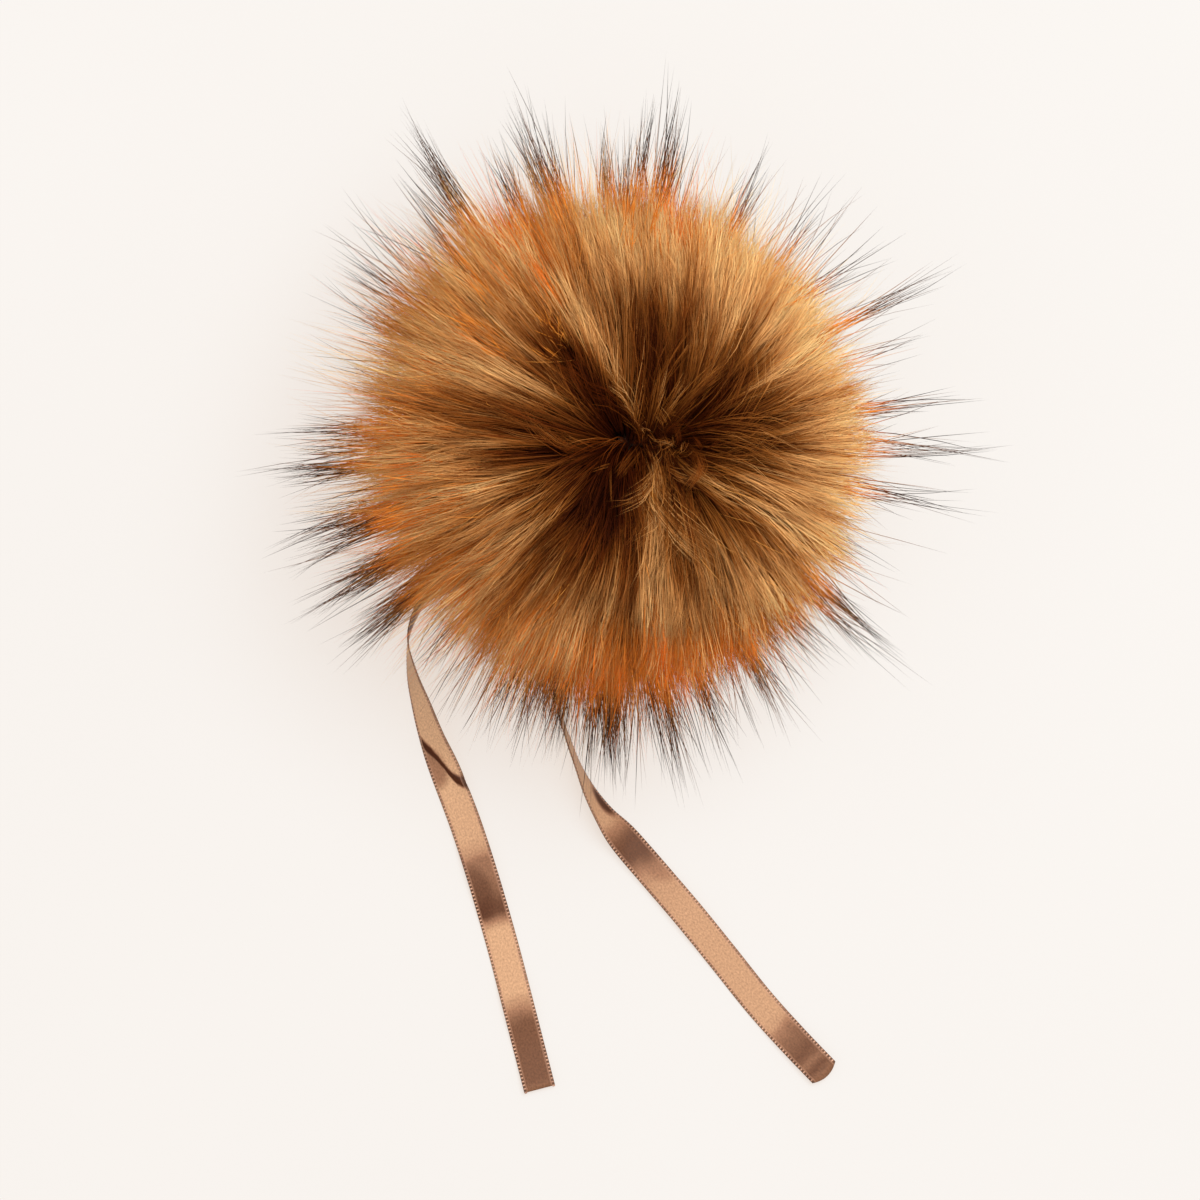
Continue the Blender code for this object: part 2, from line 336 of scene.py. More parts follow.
@dataclass(frozen=True)
class PileFinish:
    """Dyed fur fibre. Its map's U picks the dye and its V runs from the root's shade to the tip's.

    U runs from umber through tan up to tan_end, and past fox_start it is the orange of the rim.
    """

    name: str = "dyed_pile"
    umber: tuple[Stop, ...] = (
        (0.0, (0.008, 0.0012, 0.0001)),
        (0.2, (0.034, 0.0044, 0.0002)),
        (0.4, (0.150, 0.028, 0.0020)),
        (0.6, (0.480, 0.150, 0.022)),
        (0.8, (0.800, 0.340, 0.080)),
        (1.0, (0.880, 0.460, 0.150)),
    )
    tan: tuple[Stop, ...] = (
        (0.0, (0.018, 0.0030, 0.0003)),
        (0.2, (0.068, 0.0120, 0.0010)),
        (0.4, (0.300, 0.098, 0.016)),
        (0.6, (0.780, 0.400, 0.140)),
        (0.8, (0.970, 0.650, 0.270)),
        (1.0, (0.980, 0.740, 0.380)),
    )
    fox: tuple[Stop, ...] = (
        (0.0, (0.010, 0.0022, 0.0004)),
        (0.4, (0.060, 0.012, 0.001)),
        (0.65, (0.300, 0.082, 0.009)),
        (0.84, (0.670, 0.186, 0.025)),
        (0.93, (0.980, 0.220, 0.020)),
        (1.0, (0.970, 0.178, 0.018)),
    )
    tan_end: float = 0.74
    tan_rest: float = 0.02
    fox_start: float = 0.84
    grain: Grain = Grain(fineness=420.0, stretch=0.02, depth=0.28)
    roughness: float = 0.6
    specular: float = 0.04

    def material(self) -> bpy.types.Material:
        """Makes the material, which reads nothing but the strands' own map."""
        material, nodes, shader = new_material(self.name)
        chart = nodes.chart(DYE_MAP)
        tone, along = nodes.split(chart)
        brown, pale, orange = (nodes.ramp(along, stops) for stops in (self.umber, self.tan, self.fox))
        browns = nodes.mix(nodes.span(tone, 0.0, self.tan_end), brown, pale)
        dyed = nodes.mix(nodes.span(tone, self.tan_end + self.tan_rest, self.fox_start), browns, orange)
        self.grain.dress(nodes, shader, chart, dyed, self.roughness)
        nodes.feed(shader, {"Specular IOR Level": self.specular})
        return material


@dataclass(frozen=True)
class GuardFinish:
    """Guard hair, brown to orange to black along its map's V. U runs from inky tips to pale ones."""

    name: str = "dyed_guard_hair"
    inky: tuple[Stop, ...] = (
        (0.0, (0.060, 0.020, 0.005)),
        (0.30, (0.400, 0.130, 0.022)),
        (0.50, (0.950, 0.310, 0.036)),
        (0.59, (0.480, 0.115, 0.014)),
        (0.67, (0.050, 0.017, 0.007)),
        (0.82, (0.016, 0.007, 0.004)),
        (1.0, (0.030, 0.013, 0.008)),
    )
    pale: tuple[Stop, ...] = (
        (0.0, (0.100, 0.035, 0.010)),
        (0.35, (0.700, 0.290, 0.060)),
        (0.60, (0.900, 0.400, 0.090)),
        (0.78, (0.550, 0.200, 0.060)),
        (1.0, (0.120, 0.060, 0.040)),
    )
    pale_from: float = 0.2
    pale_to: float = 0.9
    grain: Grain = Grain(fineness=300.0, stretch=0.02, depth=0.25)
    roughness: float = 0.42
    specular: float = 0.06

    def material(self) -> bpy.types.Material:
        """Makes the material, which reads nothing but the hairs' own map."""
        material, nodes, shader = new_material(self.name)
        chart = nodes.chart(DYE_MAP)
        tone, along = nodes.split(chart)
        inky, pale = (nodes.ramp(along, stops) for stops in (self.inky, self.pale))
        dyed = nodes.mix(nodes.span(tone, self.pale_from, self.pale_to), inky, pale)
        self.grain.dress(nodes, shader, chart, dyed, self.roughness)
        nodes.feed(shader, {"Specular IOR Level": self.specular})
        return material


@dataclass(frozen=True)
class BackingFinish:
    """The dense short wool round the gathered backing, which only shows dark between the strands."""

    name: str = "dense_underwool"
    dark: Colour = (0.012, 0.005, 0.002)
    light: Colour = (0.070, 0.024, 0.007)
    tufts: float = 420.0
    roughness: Pair = (0.75, 0.95)
    bump: float = 0.8

    def material(self) -> bpy.types.Material:
        """Makes the material from tufts on the piece's own Object coordinates."""
        material, nodes, shader = new_material(self.name)
        tufts = nodes.noise(nodes.place(), self.tufts, detail=6.0)
        nodes.feed(shader, {
            "Base Color": nodes.ramp(tufts, ((0.35, self.dark), (0.7, self.light))),
            "Roughness": nodes.span(tufts, 0.3, 0.7, *self.roughness),
            "Normal": nodes.bump(tufts, self.bump, self.bump),
        })
        return material


# ---------------------------------------------------------------- the ball's form


class Girth(NamedTuple):
    """How far the dense pile reaches from the ball's axis at one azimuth."""

    azimuth: float
    radius: float


@dataclass(frozen=True)
class BallForm:
    """The outer form that the pile is grown to: a low ball with a dip where its pile parts."""

    middle_height: float = 38.0
    upper_half: float = 38.5
    lower_half: float = 38.0
    whorl: Triple = (7.6, -2.3, 26.0)
    parting: float = 11.0
    dip_depth: float = 13.0
    dip_reach: float = 38.0
    root_radius: float = 24.0
    girths: tuple[Girth, ...] = rows_of(
        Girth,
        (0, 55.0), (45, 53.0), (90, 54.5), (135, 57.8), (180, 56.8), (225, 56.2), (270, 55.8),
        (315, 56.0),
    )

    @property
    def middle(self) -> np.ndarray:
        """The ball's middle."""
        return np.array((0.0, 0.0, self.middle_height))

    def axes(self) -> tuple[np.ndarray, np.ndarray, np.ndarray]:
        """Gives the whorl's axis and two directions square to it, the first as near +X as can be."""
        axis = unit(np.array(self.whorl))
        first = unit(np.array((1.0, 0.0, 0.0)) - axis[0] * axis)
        return axis, first, np.cross(axis, first)

    def direction(self, fall: np.ndarray, azimuth: np.ndarray) -> np.ndarray:
        """Gives the directions at angles of fall from the whorl and azimuths round it."""
        axis, first, second = self.axes()
        down = np.radians(fall)[..., None]
        turn = np.radians(azimuth)[..., None]
        flat = np.cos(turn) * first + np.sin(turn) * second
        return np.cos(down) * axis + np.sin(down) * flat

    def fall_and_azimuth(self, direction: np.ndarray) -> tuple[np.ndarray, np.ndarray]:
        """Gives the angle of fall from the whorl and the azimuth round it of each direction."""
        axis, first, second = self.axes()
        fall = np.degrees(np.arccos(np.clip(direction @ axis, -1.0, 1.0)))
        azimuth = np.degrees(np.arctan2(direction @ second, direction @ first))
        return fall, azimuth

    def away_from_parting(self, fall: np.ndarray, azimuth: np.ndarray) -> tuple[np.ndarray, ...]:
        """Measures from the short parting in which the whorl ends.

        Args:
            fall: Angles of fall from the whorl.
            azimuth: Azimuths round it.

        Returns:
            The place along and across the parting, the angle away from it, and the way that leads
            straight away from it, as two shares.
        """
        along, across = fall * np.cos(np.radians(azimuth)), fall * np.sin(np.radians(azimuth))
        past = along - np.clip(along, -self.parting, self.parting)
        away = np.maximum(np.hypot(past, across), 0.05)
        return along, across, away, past / away, across / away

    def girth(self, direction: np.ndarray) -> np.ndarray:
        """Gives the dense pile's reach at the azimuth of each direction."""
        azimuth = np.degrees(np.arctan2(direction[..., 1], direction[..., 0]))
        places = [row.azimuth for row in self.girths]
        sizes = [row.radius for row in self.girths]
        return np.interp(azimuth, places, sizes, period=360.0)

    def reach(self, direction: np.ndarray) -> np.ndarray:
        """Gives the distance from the middle to the outer form, less the dip round the whorl."""
        level = np.hypot(direction[..., 0], direction[..., 1])
        half = np.where(direction[..., 2] > 0, self.upper_half, self.lower_half)
        whole = 1.0 / np.hypot(level / self.girth(direction), direction[..., 2] / half)
        fall, _ = self.fall_and_azimuth(direction)
        return whole - self.dip_depth * (1.0 - eased(fall / self.dip_reach))


# ---------------------------------------------------------------- strands as a mesh


@dataclass
class Strands:
    """Many strands with the same number of steps.

    points is (count, steps, 3), radius and along are (count, steps), and tone is (count,).
    """

    points: np.ndarray
    radius: np.ndarray
    tone: np.ndarray
    along: np.ndarray

    def corners(self, rng: Rng) -> np.ndarray:
        """Places the corners of every ring and each strand's tip, strand by strand."""
        run = unit(np.gradient(self.points, axis=1))
        guess = rng.normal(size=(len(self.points), 1, 3))
        guess = unit(np.cross(run.mean(axis=1, keepdims=True), guess))
        side = unit(guess - np.sum(guess * run, axis=-1, keepdims=True) * run)
        third = np.cross(run, side)
        turn = 2.0 * math.pi * np.arange(STRAND_SIDES) / STRAND_SIDES
        rim = (np.cos(turn)[:, None] * side[:, :-1, None, :]
               + np.sin(turn)[:, None] * third[:, :-1, None, :])
        rings = self.points[:, :-1, None, :] + self.radius[:, :-1, None, None] * rim
        flat = rings.reshape(len(self.points), -1, 3)
        return np.concatenate((flat, self.points[:, -1:, :]), axis=1)

    @staticmethod
    def faces(steps: int) -> tuple[list[tuple[int, ...]], list[tuple[int, ...]]]:
        """Lists one strand's faces, and the step that each of their corners stands at."""
        rings = steps - 1
        faces = [(0, 2, 1)]
        for ring in range(rings - 1):
            low, high = STRAND_SIDES * ring, STRAND_SIDES * (ring + 1)
            for side in range(STRAND_SIDES):
                after = (side + 1) % STRAND_SIDES
                faces.append((low + side, low + after, high + after, high + side))
        last, tip = STRAND_SIDES * (rings - 1), STRAND_SIDES * rings
        for side in range(STRAND_SIDES):
            faces.append((last + side, last + (side + 1) % STRAND_SIDES, tip))
        at_step = [tuple(corner // STRAND_SIDES for corner in face) for face in faces]
        return faces, at_step

    def dye_places(self, faces: list[tuple[int, ...]], at_step: list[tuple[int, ...]]) -> np.ndarray:
        """Gives each face corner its place on the dye chart, with no face left without an area."""
        tip = STRAND_SIDES * (self.points.shape[1] - 1)
        corner = np.concatenate([np.array(face) for face in faces])
        step = np.concatenate([np.array(row) for row in at_step])
        shift = np.where(corner == tip, 0.0, (corner % STRAND_SIDES - 1) * TONE_WIDTH)
        drop = np.zeros(len(corner))
        drop[1] = -TONE_WIDTH
        tone = self.tone[:, None] + shift[None, :]
        along = self.along[:, step] + drop[None, :]
        return np.clip(np.stack((tone, along), axis=-1), 0.001, 0.999)

    def build(self, name: str, material: bpy.types.Material, rng: Rng) -> None:
        """Makes one joined mesh of closed, tapered strands, as a piece of the fur.

        Args:
            name: The piece's name.
            material: Its finish.
            rng: Where the strands' own turns come from.
        """
        corners = self.corners(rng)
        count, per_strand = corners.shape[:2]
        faces, at_step = self.faces(self.points.shape[1])
        local = np.concatenate([np.array(face) for face in faces])
        sizes = np.array([len(face) for face in faces])
        loops = (local[None, :] + per_strand * np.arange(count)[:, None]).ravel()
        starts = np.concatenate(([0], np.cumsum(np.tile(sizes, count))[:-1]))
        mesh = bpy.data.meshes.new(name)
        mesh.vertices.add(count * per_strand)
        mesh.vertices.foreach_set("co", (corners * MM).astype(np.float32).ravel())
        mesh.loops.add(len(loops))
        mesh.loops.foreach_set("vertex_index", loops.astype(np.int32))
        mesh.polygons.add(len(starts))
        mesh.polygons.foreach_set("loop_start", starts.astype(np.int32))
        mesh.polygons.foreach_set("use_smooth", np.ones(len(starts), dtype=bool))
        chart = mesh.uv_layers.new(name=DYE_MAP)
        chart.uv.foreach_set("vector", self.dye_places(faces, at_step).astype(np.float32).ravel())
        mesh.update(calc_edges=True)
        piece = adopt(placed(name, mesh, material), Slot.FUR, Node.FUR)
        log.info("%s: %d strands, %d triangles", name, count, triangles_in(piece))


# ---------------------------------------------------------------- ribbon route


class Station(NamedTuple):
    """One point of a tail's route: its place on the floor, the strip's roll and its lift off it."""

    x: float
    y: float
    roll: float
    lift: float


@dataclass(frozen=True)
class TailRoute:
    """The way one ribbon tail lies, from the gathered base to its cut end."""

    stations: tuple[Station, ...]
    width: float = 7.0
    thickness: float = 0.5
    step: float = 1.0

    def flow(self) -> np.ndarray:
        """Gives x, y, roll and lift along a smooth curve through the stations, a step apart."""
        rows = np.array(self.stations, dtype=float)
        padded = np.vstack((2 * rows[0] - rows[1], rows, 2 * rows[-1] - rows[-2]))
        run = []
        for index in range(1, len(padded) - 2):
            before, start, end, after = padded[index - 1:index + 3]
            parts = max(2, round(float(np.linalg.norm((end - start)[:2])) / self.step))
            for part in range(parts):
                t = part / parts
                run.append(0.5 * (2 * start + (end - before) * t
                                  + (2 * before - 5 * start + 4 * end - after) * t ** 2
                                  + (3 * start - before - 3 * end + after) * t ** 3))
        run.append(rows[-1])
        return np.array(run)

    def middles(self) -> np.ndarray:
        """Gives the strip's middle line, resting on the floor wherever its lift is 0."""
        run = self.flow()
        roll = np.radians(run[:, 2])
        rise = (self.width * np.abs(np.sin(roll)) + self.thickness * np.abs(np.cos(roll))) / 2.0
        return np.column_stack((run[:, 0], run[:, 1], np.maximum(run[:, 3], 0.0) + rise))

    def runs(self) -> np.ndarray:
        """Gives how far along the strip each point of its middle line lies."""
        steps = np.linalg.norm(np.diff(self.middles(), axis=0), axis=1)
        return np.concatenate(([0.0], np.cumsum(steps)))

    def frames(self) -> tuple[np.ndarray, np.ndarray, np.ndarray]:
        """Gives the middle line with the directions across the strip and out of its face."""
        middles = self.middles()
        run = np.gradient(middles, axis=0)
        run[:, 2] = 0.0
        run = unit(run)
        roll = np.radians(self.flow()[:, 2])[:, None]
        across = unit(np.cross(UP, run) * np.cos(roll) + UP * np.sin(roll))
        return middles, across, np.cross(run, across)

    def tops(self) -> tuple[np.ndarray, np.ndarray, np.ndarray]:
        """Gives the middle line, the height of the strip's upper edge and its half-width from above."""
        middles = self.middles()
        roll = np.radians(self.flow()[:, 2])
        top = 2.0 * middles[:, 2] - np.maximum(self.flow()[:, 3], 0.0)
        return middles, top, self.width / 2.0 * np.abs(np.cos(roll)) + 0.5


LEFT_ROUTE = TailRoute(rows_of(
    Station,
    (-10.6, -8.2, 0, 0), (-19.6, -14.6, 12, 0), (-27.4, -20.3, 38, 0), (-34.6, -26.0, 72, 0),
    (-39.6, -30.8, 94, 0), (-43.2, -36.0, 100, 0), (-45.4, -42.6, 90, 0), (-44.6, -50.3, 70, 0),
    (-42.5, -57.7, 51, 0), (-40.1, -65.1, 35, 0), (-37.0, -72.9, 12, 0), (-33.0, -83.4, 2, 0.3),
    (-29.5, -94.0, 0, 0.9), (-26.3, -104.9, 0, 0.2), (-23.8, -114.0, 0, 0), (-21.3, -123.6, 0, 0.7),
    (-18.9, -133.0, 0, 0.2), (-16.5, -142.2, 0, 0.9),
))
RIGHT_ROUTE = TailRoute(rows_of(
    Station,
    (-3.0, -14.8, 0, 0), (-5.7, -24.6, -14, 0), (-8.5, -34.8, -44, 0), (-10.9, -45.0, -74, 0),
    (-12.2, -53.6, -86, 0), (-11.9, -59.6, -86, 0), (-10.2, -65.0, -83, 0), (-8.1, -70.7, -80, 0),
    (-5.5, -76.4, -68, 0), (-2.0, -82.0, -50, 0), (2.7, -87.8, -16, 0), (9.4, -95.6, -2, 0.5),
    (16.5, -103.9, 0, 0.9), (24.0, -113.2, 0, 0.2), (31.9, -123.1, 0, 0), (39.2, -131.2, 0, 0.7),
    (46.2, -138.5, 0, 1.1),
))


@dataclass(frozen=True)
class Ground:
    """What the lowest strands lie on: the floor, and the ribbon tails where they run under the fur."""

    routes: tuple[TailRoute, ...] = (LEFT_ROUTE, RIGHT_ROUTE)
    clearance: float = 0.35
    shoulder: float = 3.5
    softness: float = 1.3
    low: float = 20.0
    batch: int = 4000

    def height(self, points: np.ndarray) -> np.ndarray:
        """Gives the ground's height under each point, for points low enough to meet it."""
        ground = np.full(len(points), self.clearance)
        for route in self.routes:
            middles, tops, halves = route.tops()
            gap = np.linalg.norm(points[:, None, :2] - middles[None, :, :2], axis=-1)
            nearest = np.argmin(gap, axis=1)
            apart = gap[np.arange(len(points)), nearest] - halves[nearest]
            bank = (tops[nearest] + self.clearance) * (1.0 - eased(apart / self.shoulder))
            ground = np.maximum(ground, bank)
        return ground

    def settle(self, points: np.ndarray) -> np.ndarray:
        """Lays strands on the ground where they would sink into it."""
        flat = points.reshape(-1, 3).copy()
        low = np.flatnonzero(flat[:, 2] < self.low)
        for part in np.array_split(low, max(1, len(low) // self.batch)):
            if len(part):
                flat[part, 2] = soft_floor(flat[part, 2], self.height(flat[part]), self.softness)
        return flat.reshape(points.shape)


# ---------------------------------------------------------------- the pile


class Patch(NamedTuple):
    """A place on the ball whose locks are dyed otherwise than their neighbours.

    azimuth and distance are seen from above round the whorl, turn and depth are how far it spreads,
    light shifts its place along the dye, and tone its place across.
    """

    azimuth: float
    distance: float
    turn: float
    depth: float
    light: float
    tone: float


PATCHES = rows_of(
    Patch,
    (30, 32, 4, 13, 0.11, 0.25), (42, 34, 4, 12, 0.07, 0.22), (55, 34, 3, 9, 0.06, 0.18),
    (48, 24, 24, 12, -0.07, -0.10), (15, 32, 3, 8, 0.06, 0.10), (22, 12, 30, 7, -0.06, -0.15),
    (0, 24, 9, 9, -0.07, -0.15), (65, 28, 4, 9, -0.05, -0.10), (88, 20, 5, 9, -0.09, -0.20),
    (98, 24, 3, 10, -0.07, -0.15), (116, 17, 7, 14, 0.16, 0.30), (123, 32, 3, 9, 0.12, 0.20),
    (137, 14, 8, 10, -0.04, -0.20), (137, 26, 12, 12, -0.03, -0.05), (10, 37, 26, 12, 0.07, 0.05),
    (340, 32, 24, 13, 0.07, 0.05), (90, 39, 14, 8, 0.06, 0.05), (320, 8, 35, 8, 0.02, -0.05),
    (153, 33, 4, 11, 0.14, 0.30), (163, 36, 3, 8, 0.05, 0.10), (178, 15, 14, 12, 0.04, -0.10),
    (183, 27, 4, 7, -0.04, -0.10), (193, 35, 4, 10, 0.14, 0.30), (205, 30, 4, 10, 0.12, 0.25),
    (215, 35, 4, 10, 0.10, 0.25), (226, 32, 3, 9, 0.10, 0.25), (222, 13, 16, 8, -0.20, -0.25),
    (241, 17, 9, 9, -0.09, -0.22), (258, 24, 4, 10, -0.05, -0.10), (275, 8, 12, 6, 0.05, 0.20),
    (273, 15, 8, 12, 0.15, 0.40), (284, 19, 5, 14, 0.09, 0.30), (94, 31, 15, 14, -0.16, -0.05),
    (272, 33, 8, 11, 0.11, 0.30), (300, 22, 7, 10, 0.04, 0.05), (314, 24, 8, 14, 0.04, 0.0),
    (330, 28, 5, 12, 0.15, 0.30), (341, 22, 6, 10, 0.16, 0.30),
)


@dataclass(frozen=True)
class DyeAndPaintedShade:
    """How the dye is spread over the ball: dark at the whorl, golden further out, orange at the rim,
    with painted shade that holds the strands that aren't orange lower on the dye on the side away from
    the key light.
    """

    form: BallForm
    share_along: float = 0.34
    streak_turns: tuple[int, ...] = (7, 12, 19, 29, 41, 58, 76)
    streak_light: float = 0.045
    streak_tone: float = 0.12
    falls: tuple[float, ...] = (0, 14, 26, 36, 46, 58, 72, 90, 104, 125, 180)
    lights: tuple[float, ...] = (0.11, 0.14, 0.19, 0.32, 0.54, 0.76, 0.94, 1.0, 0.98, 0.86, 0.76)
    tone_azimuths: tuple[float, ...] = (0, 45, 90, 135, 180, 225, 270, 315)
    tones: tuple[float, ...] = (0.64, 0.63, 0.45, 0.33, 0.34, 0.34, 0.36, 0.54)
    # Painted shade: per-azimuth scales on the dye's place that darken strands that aren't orange on the
    # side away from the key light.
    painted_shade_scales: tuple[float, ...] = (0.97, 0.99, 0.88, 0.79, 0.78, 0.74, 0.77, 0.94)
    fox_azimuths: tuple[float, ...] = (
        0, 12, 40, 76, 84, 92, 114, 122, 130, 145, 165, 185, 200, 225, 245, 262, 272, 282, 296, 310,
        330, 350,
    )
    fox_shares: tuple[float, ...] = (
        0.28, 0.34, 0.20, 0.22, 0.58, 0.25, 0.24, 0.46, 0.28, 0.26, 0.27, 0.34, 0.40, 0.34, 0.44, 0.66,
        0.78, 0.66, 0.54, 0.36, 0.30, 0.28,
    )
    fox_from: float = 40.0
    fox_fade: float = 9.0
    least_rise: float = 0.004

    def place(self, points: np.ndarray) -> tuple[np.ndarray, np.ndarray, np.ndarray]:
        """Gives each point's fall from the whorl, and its azimuth and distance seen from above."""
        outward = unit(points - self.form.middle)
        fall = self.form.away_from_parting(*self.form.fall_and_azimuth(outward))[2]
        crown = self.form.middle + self.form.reach(self.form.axes()[0]) * self.form.axes()[0]
        x, y = points[..., 0] - crown[0], points[..., 1] - crown[1]
        return fall, np.degrees(np.arctan2(y, x)), np.hypot(x, y)

    def streaks(self, azimuth: np.ndarray, distance: np.ndarray) -> np.ndarray:
        """Gives the soft paler and darker streaks that run outwards through the pile, round 0."""
        rng = np.random.default_rng(5)
        total = np.zeros_like(azimuth)
        for turns in self.streak_turns:
            phase, drift = rng.uniform(0, 2 * math.pi), rng.uniform(-0.16, 0.16)
            total += np.sin(turns * np.radians(azimuth) + phase + drift * distance)
        return total / math.sqrt(len(self.streak_turns) / 2.0)

    def patch_shifts(self, azimuth: np.ndarray, distance: np.ndarray) -> tuple[np.ndarray, np.ndarray]:
        """Adds up what the streaks and the patches do to the light and the tone at each place."""
        streak = self.streaks(azimuth, distance)
        light = self.streak_light * streak
        tone = self.streak_tone * streak
        for patch in PATCHES:
            turn = turn_between(azimuth, patch.azimuth) / patch.turn
            depth = (distance - patch.distance) / patch.depth
            share = np.exp(-(turn ** 2 + depth ** 2))
            light += patch.light * share
            tone += patch.tone * share
        return light, tone

    def tone_at(self, azimuth: np.ndarray) -> np.ndarray:
        """Gives the mean tone at an azimuth."""
        return np.interp(azimuth, self.tone_azimuths, self.tones, period=360.0)

    def fox_at(self, azimuth: np.ndarray, distance: np.ndarray) -> np.ndarray:
        """Gives the share of orange locks among those whose tips are at an azimuth and a distance."""
        share = np.interp(azimuth, self.fox_azimuths, self.fox_shares, period=360.0)
        return share * eased((distance - self.fox_from) / self.fox_fade)

    def along(self, points: np.ndarray, share: np.ndarray, shift: np.ndarray,
              fox: np.ndarray) -> np.ndarray:
        """Gives each point its place along the dye, which always rises towards the tip and carries
        painted shade on the side away from the key light.

        Args:
            points: The strands' points.
            share: How far along its strand each point is.
            shift: What the lock and the wisp add.
            fox: Which strands end in the orange.

        Returns:
            Places from 0 to 1.
        """
        fall, azimuth, _ = self.place(points)
        light = np.interp(fall, self.falls, self.lights)
        # Painted shade by azimuth, darker on the side away from the key light; orange strands keep 1.
        painted_shade_scale = np.interp(azimuth[:, -1:], self.tone_azimuths, self.painted_shade_scales, period=360.0)
        mixed = self.share_along * share + (1.0 - self.share_along) * light
        mixed = mixed * np.where(fox[:, None], 1.0, painted_shade_scale) + shift
        rising = np.arange(points.shape[1]) * self.least_rise
        return np.maximum.accumulate(np.clip(mixed, 0.005, 0.97), axis=1) + rising


@dataclass(frozen=True)
class PileZone:
    """One ring of the pile round the whorl, from one angle of fall to another."""

    name: str
    nearest: float
    farthest: float
    locks: int
    wisps: int
    strands: int
    steps: int
    thickness: float = 0.105
    length: float = 1.0
    wave: float = 0.38


@dataclass
class LongPile:
    """The pile: locks made of wisps made of strands, grown from the root ball to the outer form."""

    form: BallForm
    ground: Ground
    dye_and_shade: DyeAndPaintedShade
    finish: PileFinish
    zones: tuple[PileZone, ...] = (
        PileZone("pile_whorl", 0, 22, 150, 7, 6, 6, wave=0.5),
        PileZone("pile_crown", 22, 45, 246, 5, 5, 6),
        PileZone("pile_shoulder", 45, 75, 420, 4, 5, 5),
        PileZone("pile_waist", 75, 104, 450, 5, 5, 4, thickness=0.10),
        PileZone("pile_underside", 104, 148, 220, 4, 4, 4),
        PileZone("pile_base", 146, 171, 110, 4, 5, 4, length=1.12),
        PileZone("pile_fringe", 70, 108, 620, 2, 2, 4, thickness=0.068, length=1.20),
    )
    sweep_power: float = 0.36
    sweep_bend: float = 1.25
    wisp_spread: float = 1.15
    strand_spread: float = 0.42
    lock_hold: float = 0.40
    wisp_hold: float = 0.34
    lock_lengths: Pair = (0.96, 1.05)
    wisp_lengths: Pair = (0.94, 1.07)
    strand_lengths: Pair = (0.90, 1.06)
    calm_lean: float = 4.0
    parting_lean: float = 26.0
    parting_width: float = 14.0
    wisp_lean: float = 3.0
    strand_lean: float = 2.5
    wave_paces: Pair = (3.0, 7.0)
    girth_shares: Pair = (0.8, 1.15)
    tip_share: float = 0.22
    uneven_light: Triple = (0.03, 0.022, 0.03)
    uneven_tone: Triple = (0.06, 0.05, 0.07)
    fox_luck: Triple = (0.55, 0.30, 0.15)
    fox_tones: Pair = (0.87, 0.97)
    root_jitter: float = 0.35
    first_seed: int = 100
    golden_turn: ClassVar[float] = 180.0 * (3.0 - math.sqrt(5.0))

    def lock_roots(self, zone: PileZone, rng: Rng) -> np.ndarray:
        """Spreads the locks' root directions evenly over the zone, a little jittered."""
        low, high = math.cos(math.radians(zone.farthest)), math.cos(math.radians(zone.nearest))
        share = (np.arange(zone.locks) + 0.5) / zone.locks
        fall = np.degrees(np.arccos(high + (low - high) * share))
        azimuth = self.golden_turn * np.arange(zone.locks) + rng.uniform(0, 360)
        spread = self.lock_spread(zone)
        direction = self.form.direction(fall, azimuth)
        return unit(direction + rng.normal(scale=self.root_jitter * spread, size=direction.shape))

    def lock_spread(self, zone: PileZone) -> float:
        """Gives the half-angle of a lock's root in radians."""
        low, high = math.cos(math.radians(zone.farthest)), math.cos(math.radians(zone.nearest))
        return math.sqrt(2.0 * (high - low) / zone.locks)

    def spread_round(self, centres: np.ndarray, radius: float, rng: Rng) -> np.ndarray:
        """Gives a direction near each centre, within a disc of that angular radius."""
        offset = rng.normal(size=centres.shape)
        offset -= np.sum(offset * centres, axis=-1, keepdims=True) * centres
        size = radius * np.sqrt(rng.uniform(size=(len(centres), 1)))
        return unit(centres + unit(offset) * size)

    def course(self, roots: np.ndarray, length: np.ndarray, lean: np.ndarray, steps: int) -> np.ndarray:
        """Gives the course of a strand from each root direction.

        Args:
            roots: Root directions from the ball's middle.
            length: Each strand's length as a share of the way to the outer form.
            lean: How many degrees its tip leans round the whorl.
            steps: Number of points.

        Returns:
            Points, as (count, steps, 3).
        """
        share = shares(steps)
        fall, azimuth = self.form.fall_and_azimuth(roots)
        along, across, away, way_along, way_across = self.form.away_from_parting(fall, azimuth)
        swept = np.where(away < 90.0, 90.0 * (away / 90.0) ** self.sweep_power, away)
        travel = (swept - away)[:, None] * share ** self.sweep_bend
        along_now = along[:, None] + way_along[:, None] * travel
        across_now = across[:, None] + way_across[:, None] * travel
        fall_now = np.hypot(along_now, across_now)
        azimuth_now = np.degrees(np.arctan2(across_now, along_now)) + lean[:, None] * share ** 1.5
        direction = self.form.direction(fall_now, azimuth_now)
        outer = self.form.reach(direction) * length[:, None]
        rise = 1.0 - (1.0 - share) ** (1.0 + 0.9 * np.cos(np.radians(fall[:, None])) ** 2)
        root = self.form.root_radius
        radius = root + (outer - root) * rise
        return self.form.middle + radius[..., None] * direction

    def waves(self, count: int, steps: int, size: float, rng: Rng) -> np.ndarray:
        """Gives each strand a soft wave of its own, still at the root."""
        share = shares(steps)[..., None]
        way = rng.normal(size=(count, 1, 3))
        other = rng.normal(size=(count, 1, 3))
        phase = rng.uniform(0, 2 * math.pi, size=(count, 1, 1))
        pace = rng.uniform(*self.wave_paces, size=(count, 1, 1))
        return size * share * (way * np.sin(pace * share + phase) + other * share)

